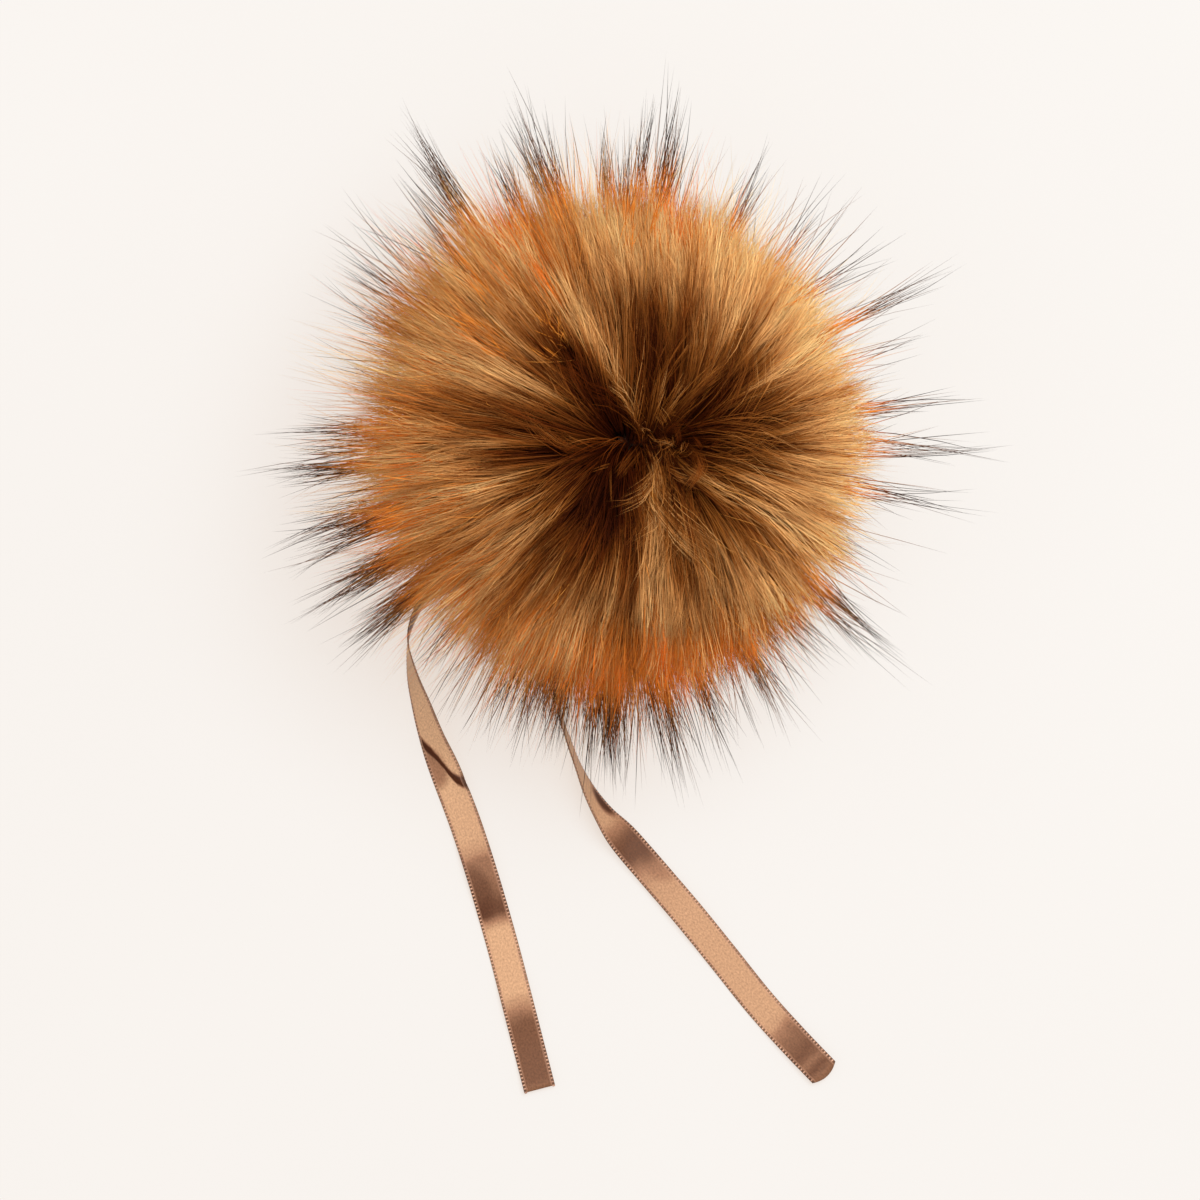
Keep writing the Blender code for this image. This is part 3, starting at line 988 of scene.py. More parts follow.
    def grow(self, zone: PileZone, rng: Rng) -> Strands:
        """Grows one zone's strands."""
        spread = self.lock_spread(zone)
        lock_root = self.lock_roots(zone, rng)
        lock_of = np.repeat(np.arange(zone.locks), zone.wisps)
        wisp_root = self.spread_round(lock_root[lock_of], self.wisp_spread * spread, rng)
        wisp_of = np.repeat(np.arange(len(wisp_root)), zone.strands)
        root = self.spread_round(wisp_root[wisp_of], self.strand_spread * spread, rng)
        lock_length = zone.length * rng.uniform(*self.lock_lengths, zone.locks)
        wisp_length = lock_length[lock_of] * rng.uniform(*self.wisp_lengths, len(lock_of))
        length = wisp_length[wisp_of] * rng.uniform(*self.strand_lengths, len(wisp_of))
        fall, azimuth = self.form.fall_and_azimuth(lock_root)
        away = self.form.away_from_parting(fall, azimuth)[2]
        mess = self.calm_lean + self.parting_lean * (1.0 - eased(away / self.parting_width))
        lock_lean = mess * rng.normal(size=zone.locks)
        wisp_lean = lock_lean[lock_of] + rng.normal(scale=self.wisp_lean, size=len(lock_of))
        lean = wisp_lean[wisp_of] + rng.normal(scale=self.strand_lean, size=len(wisp_of))
        lock_line = self.course(lock_root, lock_length, lock_lean, zone.steps)
        wisp_line = self.course(wisp_root, wisp_length, wisp_lean, zone.steps)
        share = shares(zone.steps)[..., None]
        held_wisp = wisp_line + (lock_line[lock_of] - wisp_line) * self.lock_hold * share ** 1.4
        line = self.course(root, length, lean, zone.steps)
        shift = (held_wisp - wisp_line)[wisp_of]
        line = line + shift + (wisp_line[wisp_of] - line) * self.wisp_hold * share ** 1.6
        line += self.waves(len(line), zone.steps, zone.wave, rng)
        line = self.ground.settle(line)
        tone, along = self.dye_and_painted_light(line, lock_line, lock_of, wisp_of, rng)
        return Strands(line, self.girths(zone, len(line), rng), tone, along)

    def girths(self, zone: PileZone, count: int, rng: Rng) -> np.ndarray:
        """Gives each strand's half-thickness along it, from full at the root to fine at the tip."""
        share = shares(zone.steps)
        full = zone.thickness * rng.uniform(*self.girth_shares, size=(count, 1))
        return full * (1.0 - (1.0 - self.tip_share) * share ** 2.2)

    def dye_and_painted_light(self, line: np.ndarray, lock_line: np.ndarray, lock_of: np.ndarray, wisp_of: np.ndarray,
            rng: Rng) -> tuple[np.ndarray, np.ndarray]:
        """Gives each strand its tone and its places along the dye, which carry painted shade on the
        side away from the key light.

        Args:
            line: The strands' points.
            lock_line: The locks' middle lines.
            lock_of: The lock of each wisp.
            wisp_of: The wisp of each strand.
            rng: Where the unevenness comes from.

        Returns:
            The tones, as (count,), and the places along the dye, as (count, steps).
        """
        def drawn(draw: Callable, sizes: Triple) -> np.ndarray:
            """Adds up what each strand's lock, its wisp and the strand itself draw."""
            lock, wisp, strand = sizes
            return (lock * draw(size=len(lock_line))[lock_of[wisp_of]]
                    + wisp * draw(size=len(lock_of))[wisp_of] + strand * draw(size=count))

        dye_and_shade = self.dye_and_shade
        count, steps = line.shape[:2]
        _, azimuth, distance = dye_and_shade.place(line)
        patch_light, patch_tone = dye_and_shade.patch_shifts(azimuth, distance)
        own_light = drawn(rng.normal, self.uneven_light)
        own_tone = drawn(rng.normal, self.uneven_tone)
        tone = dye_and_shade.tone_at(azimuth[:, -1]) + patch_tone[:, steps // 2:].mean(axis=1) + own_tone
        tone = np.clip(tone, 0.01, self.finish.tan_end - 0.01)
        fox = drawn(rng.uniform, self.fox_luck) < dye_and_shade.fox_at(azimuth[:, -1], distance[:, -1])
        tone = np.where(fox, rng.uniform(*self.fox_tones, count), tone)
        return tone, dye_and_shade.along(line, shares(steps), patch_light + own_light[:, None], fox)

    def build(self) -> None:
        """Builds every zone as one piece."""
        material = self.finish.material()
        for index, zone in enumerate(self.zones):
            rng = np.random.default_rng(self.first_seed + index)
            self.grow(zone, rng).build(zone.name, material, rng)


# ---------------------------------------------------------------- guard hairs


class Bundle(NamedTuple):
    """A bundle of long guard hairs: its tip's azimuth, reach and rise, and how far round it starts."""

    azimuth: float
    reach: float
    rise: float
    base_turn: float = 0.0
    strength: Strength = Strength.MEDIUM


# Each row is a bundle's azimuth, reach and rise, and its base_turn where that isn't 0.
RIM_BUNDLES = {
    Strength.SINGLE: (
        (5, 78, 8),
    ),
    Strength.FAINT: (
        (19, 73, 10), (36, 75, 12, 2), (41, 70, 3, -1), (44.5, 80, 14, -3), (51, 72, 6, -6),
        (72, 68, 0), (99, 70, 4), (138, 69, 2), (163, 68, 12), (192, 77, 14), (237.5, 70, 2),
        (331, 71, 0), (339, 70, 10),
    ),
    Strength.TIGHT: (
        (7, 75, 0), (27, 79, 5, -1), (321, 80, 2, 3), (348.5, 78, 4), (358.5, 80, 0),
    ),
    Strength.MEDIUM: (
        (62, 70, 12, -2), (113, 71, 14), (131, 73, 16), (144.5, 77, 10), (154.5, 70, 4), (177.5, 72, 8),
        (211, 75, -4), (229.5, 65, 6), (307, 66, 0), (315, 67, 10), (322.5, 71, 8, 8),
    ),
    Strength.STRONG: (
        (80, 76, 10), (87, 72, 18), (105, 76, 8, -5), (123.5, 79, 4), (185, 76, 2), (243, 67, 0),
        (289, 73, 0),
    ),
    Strength.DENSE: (
        (197.5, 76, 0), (208, 74, 8), (218, 73, 2), (258, 68, 5, -2), (273, 72, -2, 4),
        (281, 76, 4, -3), (300.5, 71, 6, 3),
    ),
    Strength.HEAVY: (
        (253, 69, -2, -4), (265.5, 72, 2),
    ),
}
CROWN_BUNDLES = ((143.7, 57, 36), (121, 44, 50))


@dataclass
class GuardHairs:
    """Long hairs with black tips that stand past the pile in bundles, and fine strays between them."""

    form: BallForm
    ground: Ground
    finish: GuardFinish
    steps: int = 6
    root: float = 30.0
    crown_reach: float = 47.0
    reach_scale: float = 1.07
    tuft_reach: float = 0.84
    tuft_drop: float = 5.0
    tuft_scatter: float = 3.4
    shortest: float = 0.22
    knots: Pair = (0.50, 0.68)
    gather: float = 1.9
    arch: Pair = (4.0, 2.0)
    bend: float = 4.0
    curl: float = 0.9
    thickness: float = 0.084
    girth_shares: Pair = (0.7, 1.5)
    tones: Pair = (0.0, 0.55)
    tip_share: float = 0.35
    dye_end: float = 76.0
    dye_shares: Pair = (0.35, 0.62)
    uneven_dye: float = 0.03
    strays: int = 460
    stray_reaches: Pair = (56, 70)
    stray_rise: Pair = (4.0, 20.0)
    stray_limits: Pair = (-25.0, 75.0)
    stray_turn: float = 6.0
    stray_knot: float = 0.8
    stray_gather: float = 3.0
    stray_thickness: float = 0.055
    stray_tones: Pair = (0.3, 0.95)
    seed: int = 7

    @staticmethod
    def rows() -> list[Bundle]:
        """Lists the bundles, those of the rim by their azimuth and those of the crown last."""
        rim = [Bundle(*row)._replace(strength=strength)
               for strength, rows in RIM_BUNDLES.items() for row in rows]
        return sorted(rim) + [Bundle(*row) for row in CROWN_BUNDLES]

    def directions(self, azimuth: np.ndarray, rise: np.ndarray) -> np.ndarray:
        """Gives the directions at azimuths and rises, in degrees, seen from the ball's middle."""
        turn, tilt = np.radians(azimuth), np.radians(rise)
        level = np.cos(tilt)
        return np.stack((np.cos(turn) * level, np.sin(turn) * level, np.sin(tilt)), axis=-1)

    def hairs(self, azimuth: np.ndarray, reach: np.ndarray, rise: np.ndarray, base_turn: np.ndarray,
              gather: float, knot: np.ndarray, rng: Rng) -> np.ndarray:
        """Gives the courses of hairs from the root ball to their tips.

        Args:
            azimuth: Azimuth of each tip.
            reach: Its distance from the ball's axis, were it level with the middle.
            rise: Its angle over the level of the ball's middle.
            base_turn: How far round from the tip the hair leaves the ball.
            gather: How far from its tuft's line a hair starts.
            knot: How far along, as a share, the hairs of a tuft cross, to spread again past it.
            rng: Where the hairs' own bends come from.

        Returns:
            Points, as (count, steps, 3).
        """
        count = len(azimuth)
        share = shares(self.steps)
        azimuth_now = azimuth[:, None] + base_turn[:, None] * (1.0 - share) ** 1.5
        mean, scatter = self.arch
        bow = rng.normal(scale=scatter, size=(count, 1)) + mean
        rise_now = rise[:, None] + bow * share * (1.0 - share)
        tilt = np.radians(rise)
        full = 1.0 / np.hypot(np.cos(tilt) / reach, np.sin(tilt) / self.crown_reach)
        radius = self.root + (full - self.root)[:, None] * share
        apart = rng.normal(scale=gather, size=(count, 1, 3)) * (1.0 - share / knot[:, None])[..., None]
        bend = rng.normal(size=(count, 1, 3)) * self.bend * (share * (1.0 - share))[..., None]
        curl = rng.normal(scale=self.curl, size=(count, 1, 3)) * (share ** 3)[..., None]
        way = self.directions(azimuth_now, rise_now)
        return self.form.middle + radius[..., None] * way + apart + bend + curl

    def bundle(self, row: Bundle, rng: Rng) -> np.ndarray:
        """Gives one bundle's courses, tuft by tuft. The first tuft is the one that reaches farthest."""
        tufts, hairs, spread = row.strength.value
        first = np.arange(tufts) == 0
        turn = np.where(first, 0.0, rng.normal(scale=spread, size=tufts))
        share = rng.uniform(self.tuft_reach, 1.0, tufts)
        reach = self.reach_scale * row.reach * np.where(first, 1.0, share)
        drop = rng.normal(loc=-self.tuft_drop, scale=self.tuft_scatter * spread, size=tufts)
        rise = row.rise + np.where(first, 0.0, drop)
        knot = rng.uniform(*self.knots, tufts)
        tuft = np.repeat(np.arange(tufts), hairs)
        count = len(tuft)
        shorter = 1.0 - self.shortest * rng.beta(1.0, 1.8, count)
        azimuth = row.azimuth + turn[tuft] + rng.normal(scale=0.3, size=count)
        base_turn = row.base_turn - turn[tuft] * 0.5 + rng.normal(scale=0.8, size=count)
        reach = reach[tuft] * shorter
        return self.hairs(azimuth, reach, rise[tuft], base_turn, self.gather, knot[tuft], rng)

    def stray_courses(self, rng: Rng) -> np.ndarray:
        """Gives the courses of the fine single hairs all round."""
        azimuth = rng.uniform(0, 360, self.strays)
        reach = rng.uniform(*self.stray_reaches, self.strays)
        rise = np.clip(rng.normal(*self.stray_rise, size=self.strays), *self.stray_limits)
        turn = rng.normal(scale=self.stray_turn, size=self.strays)
        knot = np.full(self.strays, self.stray_knot)
        return self.hairs(azimuth, reach, rise, turn, self.stray_gather, knot, rng)

    def strands(self, courses: np.ndarray, thickness: float, tones: Pair, rng: Rng) -> Strands:
        """Turns courses into strands with their thickness and dye."""
        count = len(courses)
        share = shares(self.steps)
        settled = self.ground.settle(courses)
        full = thickness * rng.uniform(*self.girth_shares, size=(count, 1))
        radius = full * (1.0 - (1.0 - self.tip_share) * share ** 3)
        out = np.linalg.norm(courses - self.form.middle, axis=-1)
        own_share, far_share = self.dye_shares
        far = np.clip((out - self.root) / (self.dye_end - self.root), 0.0, 1.0)
        along = own_share * share + far_share * far
        along = np.clip(along + rng.normal(scale=self.uneven_dye, size=(count, 1)), 0.0, 0.95)
        along = np.maximum.accumulate(along, axis=1) + 0.006 * np.arange(self.steps)
        return Strands(settled, radius, rng.uniform(*tones, size=count), along)

    def build(self) -> None:
        """Builds the bundles and the strays as two pieces."""
        rng = np.random.default_rng(self.seed)
        material = self.finish.material()
        bundles = np.concatenate([self.bundle(row, rng) for row in self.rows()])
        strays = self.stray_courses(rng)
        for name, courses, thickness, tones in (
            ("guard_bundles", bundles, self.thickness, self.tones),
            ("stray_hairs", strays, self.stray_thickness, self.stray_tones),
        ):
            self.strands(courses, thickness, tones, rng).build(name, material, rng)


# ---------------------------------------------------------------- loose curls in the whorl


class Curl(NamedTuple):
    """A loose curl in the whorl: the places that it passes, seen from above, and its hairs' dye."""

    places: Sequence[Sequence[float]]
    hairs: int
    spread: float
    light: float
    tone: float
    lift: float = 1.2


WHORL_CURLS = (
    Curl(((6.9, -1.5), (9.6, -1.4), (12.7, -2.7)), 4, 0.12, 0.44, 0.62, 1.3),
    Curl(((7.3, -2.7), (9.8, -2.1), (12.3, -1.3)), 3, 0.12, 0.42, 0.60, 1.1),
    Curl(((14.2, -2), (17.1, -5.7), (17.2, -7.6), (15.8, -10.1), (14.2, -12)), 26, 0.5, 0.44, 0.22, 5),
    Curl(((5.3, -2.5), (3.0, -5.7), (0.5, -8.8)), 24, 0.75, 0.32, 0.45, 0.8),
    Curl(((4.4, -3.3), (2.0, -6.4), (0.9, -9.9)), 18, 0.60, 0.30, 0.15, 0.7),
    Curl(((-0.8, -6.3), (-0.9, -10.7), (-0.6, -15.4)), 3, 0.15, 0.34, 0.60, 1.0),
    Curl(((-5.1, -7.9), (-3.0, -7.2), (-0.8, -6.5)), 5, 0.25, 0.35, 0.50, 0.8),
    Curl(((10.2, 4.5), (11.9, 4.4), (13.6, 3.8)), 8, 0.30, 0.35, 0.55, 0.9),
    Curl(((15.8, -0.6), (16.8, -1.6), (17.9, -3.1)), 10, 0.35, 0.35, 0.10, 0.8),
    Curl(((10.9, -1.4), (11.7, 1.3), (14.2, 1.5)), 14, 0.45, 0.29, 0.10, 0.8),
    Curl(((11.9, -3.1), (13.1, -0.6), (12.3, 2.1)), 12, 0.45, 0.27, 0.15, 0.7),
    Curl(((3.6, 2.9), (5.1, 0.6), (5.5, -1.6)), 14, 0.50, 0.32, 0.30, 0.7),
    Curl(((8.4, -3.1), (10.2, -4.9), (10.6, -7.8)), 14, 0.50, 0.34, 0.50, 0.7),
    Curl(((7.2, -3.6), (8.4, -7.6), (8.8, -12.5)), 36, 1.0, 0.47, 0.60, 2.0),
)


@dataclass
class WhorlCurls:
    """The tangle in the middle of the whorl: curls that show one by one, and many dark loose ones."""

    form: BallForm
    finish: PileFinish
    steps: int = 6
    thickness: float = 0.045
    loose: int = 70
    loose_hairs: int = 6
    loose_spread: float = 0.32
    loose_lift: float = 0.7
    loose_middle: Pair = (8.6, -2.6)
    loose_scatter: Pair = (4.2, 2.4)
    loose_turn: float = 1.1
    loose_sizes: Pair = (1.1, 2.4)
    loose_lights: Pair = (0.10, 0.28)
    loose_tones: Pair = (0.05, 0.6)
    sunk: float = 1.6
    sunk_lift: float = 1.2
    seed: int = 21

    def surface(self, flat: np.ndarray) -> np.ndarray:
        """Gives the outer form's height over each place seen from above."""
        rise = np.full(flat.shape[:-1], 30.0)
        for _ in range(6):
            way = unit(np.concatenate((flat, rise[..., None]), axis=-1))
            reach = self.form.reach(way)
            rise = np.sqrt(np.maximum(reach ** 2 - np.sum(flat ** 2, axis=-1), 25.0))
        return self.form.middle_height + rise

    def course(self, row: Curl, rng: Rng) -> np.ndarray:
        """Gives the courses of one curl's hairs, as (hairs, steps, 3)."""
        places = np.array(row.places)
        given = np.linspace(0.0, 1.0, len(places))
        share = shares(self.steps)[0]
        degree = min(3, len(places) - 1)
        fits = [np.polyfit(given, values, degree) for values in places.T]
        flat = np.stack([np.polyval(fit, share) for fit in fits], axis=-1)
        flat = flat[None] + rng.normal(scale=row.spread, size=(row.hairs, 1, 2))
        flat = flat + rng.normal(scale=0.5 * row.spread, size=(row.hairs, 1, 2)) * share[None, :, None]
        bow = np.sin(math.pi * share)[None, :] ** 0.8
        lift = (row.lift + self.sunk_lift) * bow * rng.uniform(0.6, 1.2, size=(row.hairs, 1))
        height = self.surface(flat) - self.sunk + lift
        return np.concatenate((flat, height[..., None]), axis=-1)

    def loose_places(self, rng: Rng) -> np.ndarray:
        """Gives the three places that a loose curl passes, somewhere along the parting."""
        start = rng.normal(self.loose_middle, self.loose_scatter)
        heading = rng.uniform(0, 2 * math.pi)
        turn = rng.normal(scale=self.loose_turn)
        size = rng.uniform(*self.loose_sizes)
        first = start + size * np.array((math.cos(heading), math.sin(heading)))
        second = first + size * np.array((math.cos(heading + turn), math.sin(heading + turn)))
        return np.array((start, first, second))

    def rows(self, rng: Rng) -> Iterator[Curl]:
        """Gives the curls that show one by one, and then the loose ones."""
        yield from WHORL_CURLS
        for _ in range(self.loose):
            light = rng.uniform(*self.loose_lights)
            places = self.loose_places(rng)
            tone = rng.uniform(*self.loose_tones)
            yield Curl(places, self.loose_hairs, self.loose_spread, light, tone, self.loose_lift)

    def build(self) -> None:
        """Builds all the curls as one piece."""
        rng = np.random.default_rng(self.seed)
        rows = list(self.rows(rng))
        courses = np.concatenate([self.course(row, rng) for row in rows])
        light = np.concatenate([np.full(row.hairs, row.light) for row in rows])
        tone = np.concatenate([np.full(row.hairs, row.tone) for row in rows])
        share = shares(self.steps)
        own = 0.04 * rng.normal(size=len(light))
        along = np.clip((light + own)[:, None] - 0.10 + 0.14 * share, 0.02, 0.95)
        full = self.thickness * rng.uniform(0.7, 1.1, size=(len(light), 1))
        radius = full * (1.0 - 0.7 * np.abs(2.0 * share - 1.0) ** 3)
        tone = np.clip(tone + 0.05 * rng.normal(size=len(tone)), 0.02, 0.72)
        Strands(courses, radius, tone, along).build("whorl_curls", self.finish.material(), rng)


# ---------------------------------------------------------------- backing


@dataclass
class Backing:
    """The gathered backing with its short dense wool, hidden in the pile and flat where it rests."""

    form: BallForm
    finish: BackingFinish
    side_radius: float = 27.0
    upper: float = 22.5
    flat_radius: float = 11.0
    flat_height: float = 0.4
    flat_depth: float = 0.93
    drawn_depth: float = 0.55
    drawn_share: float = 0.835
    fall_power: float = 0.9
    lump: float = 0.2
    lump_rise: float = 0.02
    lump_waves: int = 12
    lump_pace: float = 7.0
    fill: float = 0.8
    seed: int = 3

    def build(self) -> None:
        """Shapes a ball into the backing's round, drawn down to the flat spot that it rests on."""
        deselect_all()
        bpy.ops.mesh.primitive_ico_sphere_add(subdivisions=5, radius=1.0, location=(0, 0, 0))
        piece = bpy.context.active_object
        piece.name = "gathered_backing"
        rng = np.random.default_rng(self.seed)
        waves = rng.normal(size=(self.lump_waves, 3)) * self.lump_pace
        phases = rng.uniform(0, 2 * math.pi, self.lump_waves)
        middle = self.form.middle_height
        for vertex in piece.data.vertices:
            x, y, z = vertex.co
            at = np.array((x, y, z))
            swell = sum(math.sin(float(wave @ at) + phase) for wave, phase in zip(waves, phases))
            side = self.side_radius + self.lump * swell
            if z >= 0.0:
                height = middle + self.upper * z * (1.0 + self.lump_rise * swell)
                vertex.co = (side * x * MM, side * y * MM, height * MM)
                continue
            flat = math.hypot(x, y)
            reach = side * flat
            if -z >= self.drawn_depth:
                reach = max(reach, self.flat_radius * flat / self.drawn_share)
            fall = (middle - self.flat_height) * min(1.0, -z / self.flat_depth) ** self.fall_power
            scale = reach / max(flat, 1e-6)
            vertex.co = (scale * x * MM, scale * y * MM, (middle - fall) * MM)
        piece.data.shade_smooth()
        piece.data.materials.append(self.finish.material())
        adopt(piece, Slot.FUR, Node.FUR)
        log.info("%s: %d triangles", piece.name, triangles_in(piece))


# ---------------------------------------------------------------- ribbon tails


class Change(NamedTuple):
    """How bright the satin's painted sheen is at one distance from the cut end."""

    distance: float
    level: float


class Shade(NamedTuple):
    """An oval of painted shade on the satin, by its middle and half its size across and along the
    strip.
    """

    share: float
    distance: float
    half_share: float
    half_length: float
    strength: float


class CreasePoint(NamedTuple):
    """A point of a crease, by its share of the ribbon's width and its distance from the cut end."""

    share: float
    distance: float


@dataclass(frozen=True)
class SatinFinish:
    """Satin whose painted sheen turns between a bright tan and a deep brown along the tail, with ovals
    of painted shade and a painted shade line at the crease.

    The strip's map counts both ways in map_length, so that a pattern is as wide as it is long.
    """

    name: str
    painted_sheen: tuple[Change, ...]
    shades: tuple[Shade, ...]
    crease: tuple[CreasePoint, ...] = ()
    map_length: float = 160.0
    width: float = 7.0
    # The satin's colours, from its painted shade at level 0 to its painted sheen at level 1.
    dye_and_painted_light: tuple[Stop, ...] = (
        (0.0, (0.056, 0.015, 0.005)),
        (0.45, (0.288, 0.140, 0.078)),
        (0.8, (0.474, 0.270, 0.152)),
        (1.0, (0.580, 0.341, 0.196)),
    )
    thread: Colour = (0.440, 0.235, 0.150)
    grain: Grain = Grain(fineness=420.0, stretch=0.7, depth=0.5)
    roughness: float = 0.42
    specular: float = 0.08
    bump: float = 0.2
    bump_depth: float = 0.05
    drift: float = 0.018
    shade_rim: Pair = (0.25, 1.2)
    crease_line: Pair = (0.8, 2.2)
    crease_start: Pair = (0.03, 0.16)
    start_level: float = 0.9
    bound: Pair = (0.80, 0.95)
    bound_share: float = 0.3
    # Painted shade between the edge thread's turns: the outer 0.52 mm of satin darkens, clearing by
    # 0.62 mm.
    gap: Pair = (0.52, 0.62)
    thread_gap_shade: float = 0.48

    def material(self) -> bpy.types.Material:
        """Makes the material from the strip's own map, U across it and V along it from the cut end."""
        material, nodes, shader = new_material(self.name)
        run = nodes.chart(RIBBON_MAP)
        across, along = nodes.split(run)
        share = nodes.math("MULTIPLY", across, self.map_length / self.width)
        wander = nodes.math("SUBTRACT", nodes.noise(run, 30.0), 0.5)
        drifted = nodes.math("ADD", along, nodes.math("MULTIPLY", wander, self.drift))
        # The painted sheen: a brightness level by distance from the cut end, shifted a little by noise.
        stops = [(row.distance / self.map_length, (row.level,) * 3) for row in self.painted_sheen]
        level = nodes.ramp(drifted, stops)
        # Ovals of painted shade lower the painted sheen level.
        for row in self.shades:
            level = nodes.math("MULTIPLY", level, self.shade_mask(nodes, share, along, row))
        # A line of painted shade along the crease, where the strip's mesh also lifts.
        if self.crease:
            level = nodes.math("MULTIPLY", level, self.painted_crease_shade(nodes, share, along))
        from_edge = nodes.math("MINIMUM", share, nodes.math("SUBTRACT", 1.0, share))
        bound = nodes.span(from_edge, *self.across_shares(self.bound), self.bound_share, 0.0)
        # Painted shade between the edge thread's turns.
        gap = nodes.span(from_edge, *self.across_shares(self.gap), self.thread_gap_shade, 1.0)
        colour = nodes.shaded(nodes.mix(bound, nodes.ramp(level, self.dye_and_painted_light), self.thread), gap)
        shade = self.grain.dress(nodes, shader, run, colour, self.roughness)
        nodes.feed(shader, {
            "Normal": nodes.bump(shade, self.bump, self.bump_depth),
            "Specular IOR Level": self.specular,
        })
        return material

    def across_shares(self, places: Pair) -> Pair:
        """Turns two distances from the edge into shares of the width."""
        return places[0] / self.width, places[1] / self.width

    def shade_mask(self, nodes: Nodes, share: Socket, along: Socket, row: Shade) -> Socket:
        """Gives what is left of the painted sheen in one oval of painted shade with a soft rim."""
        squares = []
        for value, middle, scale in (
            (share, row.share, 1.0 / row.half_share),
            (along, row.distance / self.map_length, self.map_length / row.half_length),
        ):
            away = nodes.math("MULTIPLY", nodes.math("SUBTRACT", value, middle), scale)
            squares.append(nodes.math("MULTIPLY", away, away))
        return nodes.span(nodes.math("ADD", *squares), *self.shade_rim, 1.0 - row.strength, 1.0)

    def painted_crease_shade(self, nodes: Nodes, share: Socket, along: Socket) -> Socket:
        """Gives what is left of the painted sheen at the crease: painted shade in a dark line that
        crosses at its points.
        """
        stops = [(row.share, (row.distance / self.map_length,) * 3) for row in self.crease]
        gap = nodes.math("ABSOLUTE", nodes.math("SUBTRACT", along, nodes.ramp(share, stops)), 0.0)
        dark, clear = (width / self.map_length for width in self.crease_line)
        line = nodes.span(gap, dark, clear, 0.0, 1.0)
        return nodes.math("MAXIMUM", line, nodes.span(share, *self.crease_start, self.start_level, 0.0))


@dataclass(frozen=True)
class SelvedgeFinish:
    """The thread that binds the ribbon's two edges."""

    name: str = "selvedge_thread"
    dark: Colour = (0.24, 0.105, 0.062)
    bright: Colour = (0.50, 0.27, 0.17)
    unevenness: float = 300.0
    grain: Grain = Grain(fineness=900.0, stretch=0.2, depth=0.2)
    roughness: float = 0.5

    def material(self) -> bpy.types.Material:
        """Makes the material on the piece's own Object coordinates."""
        material, nodes, shader = new_material(self.name)
        place = nodes.place()
        uneven = nodes.noise(place, self.unevenness)
        colour = nodes.ramp(uneven, ((0.3, self.dark), (0.55, self.bright)))
        self.grain.dress(nodes, shader, place, colour, self.roughness)
        return material


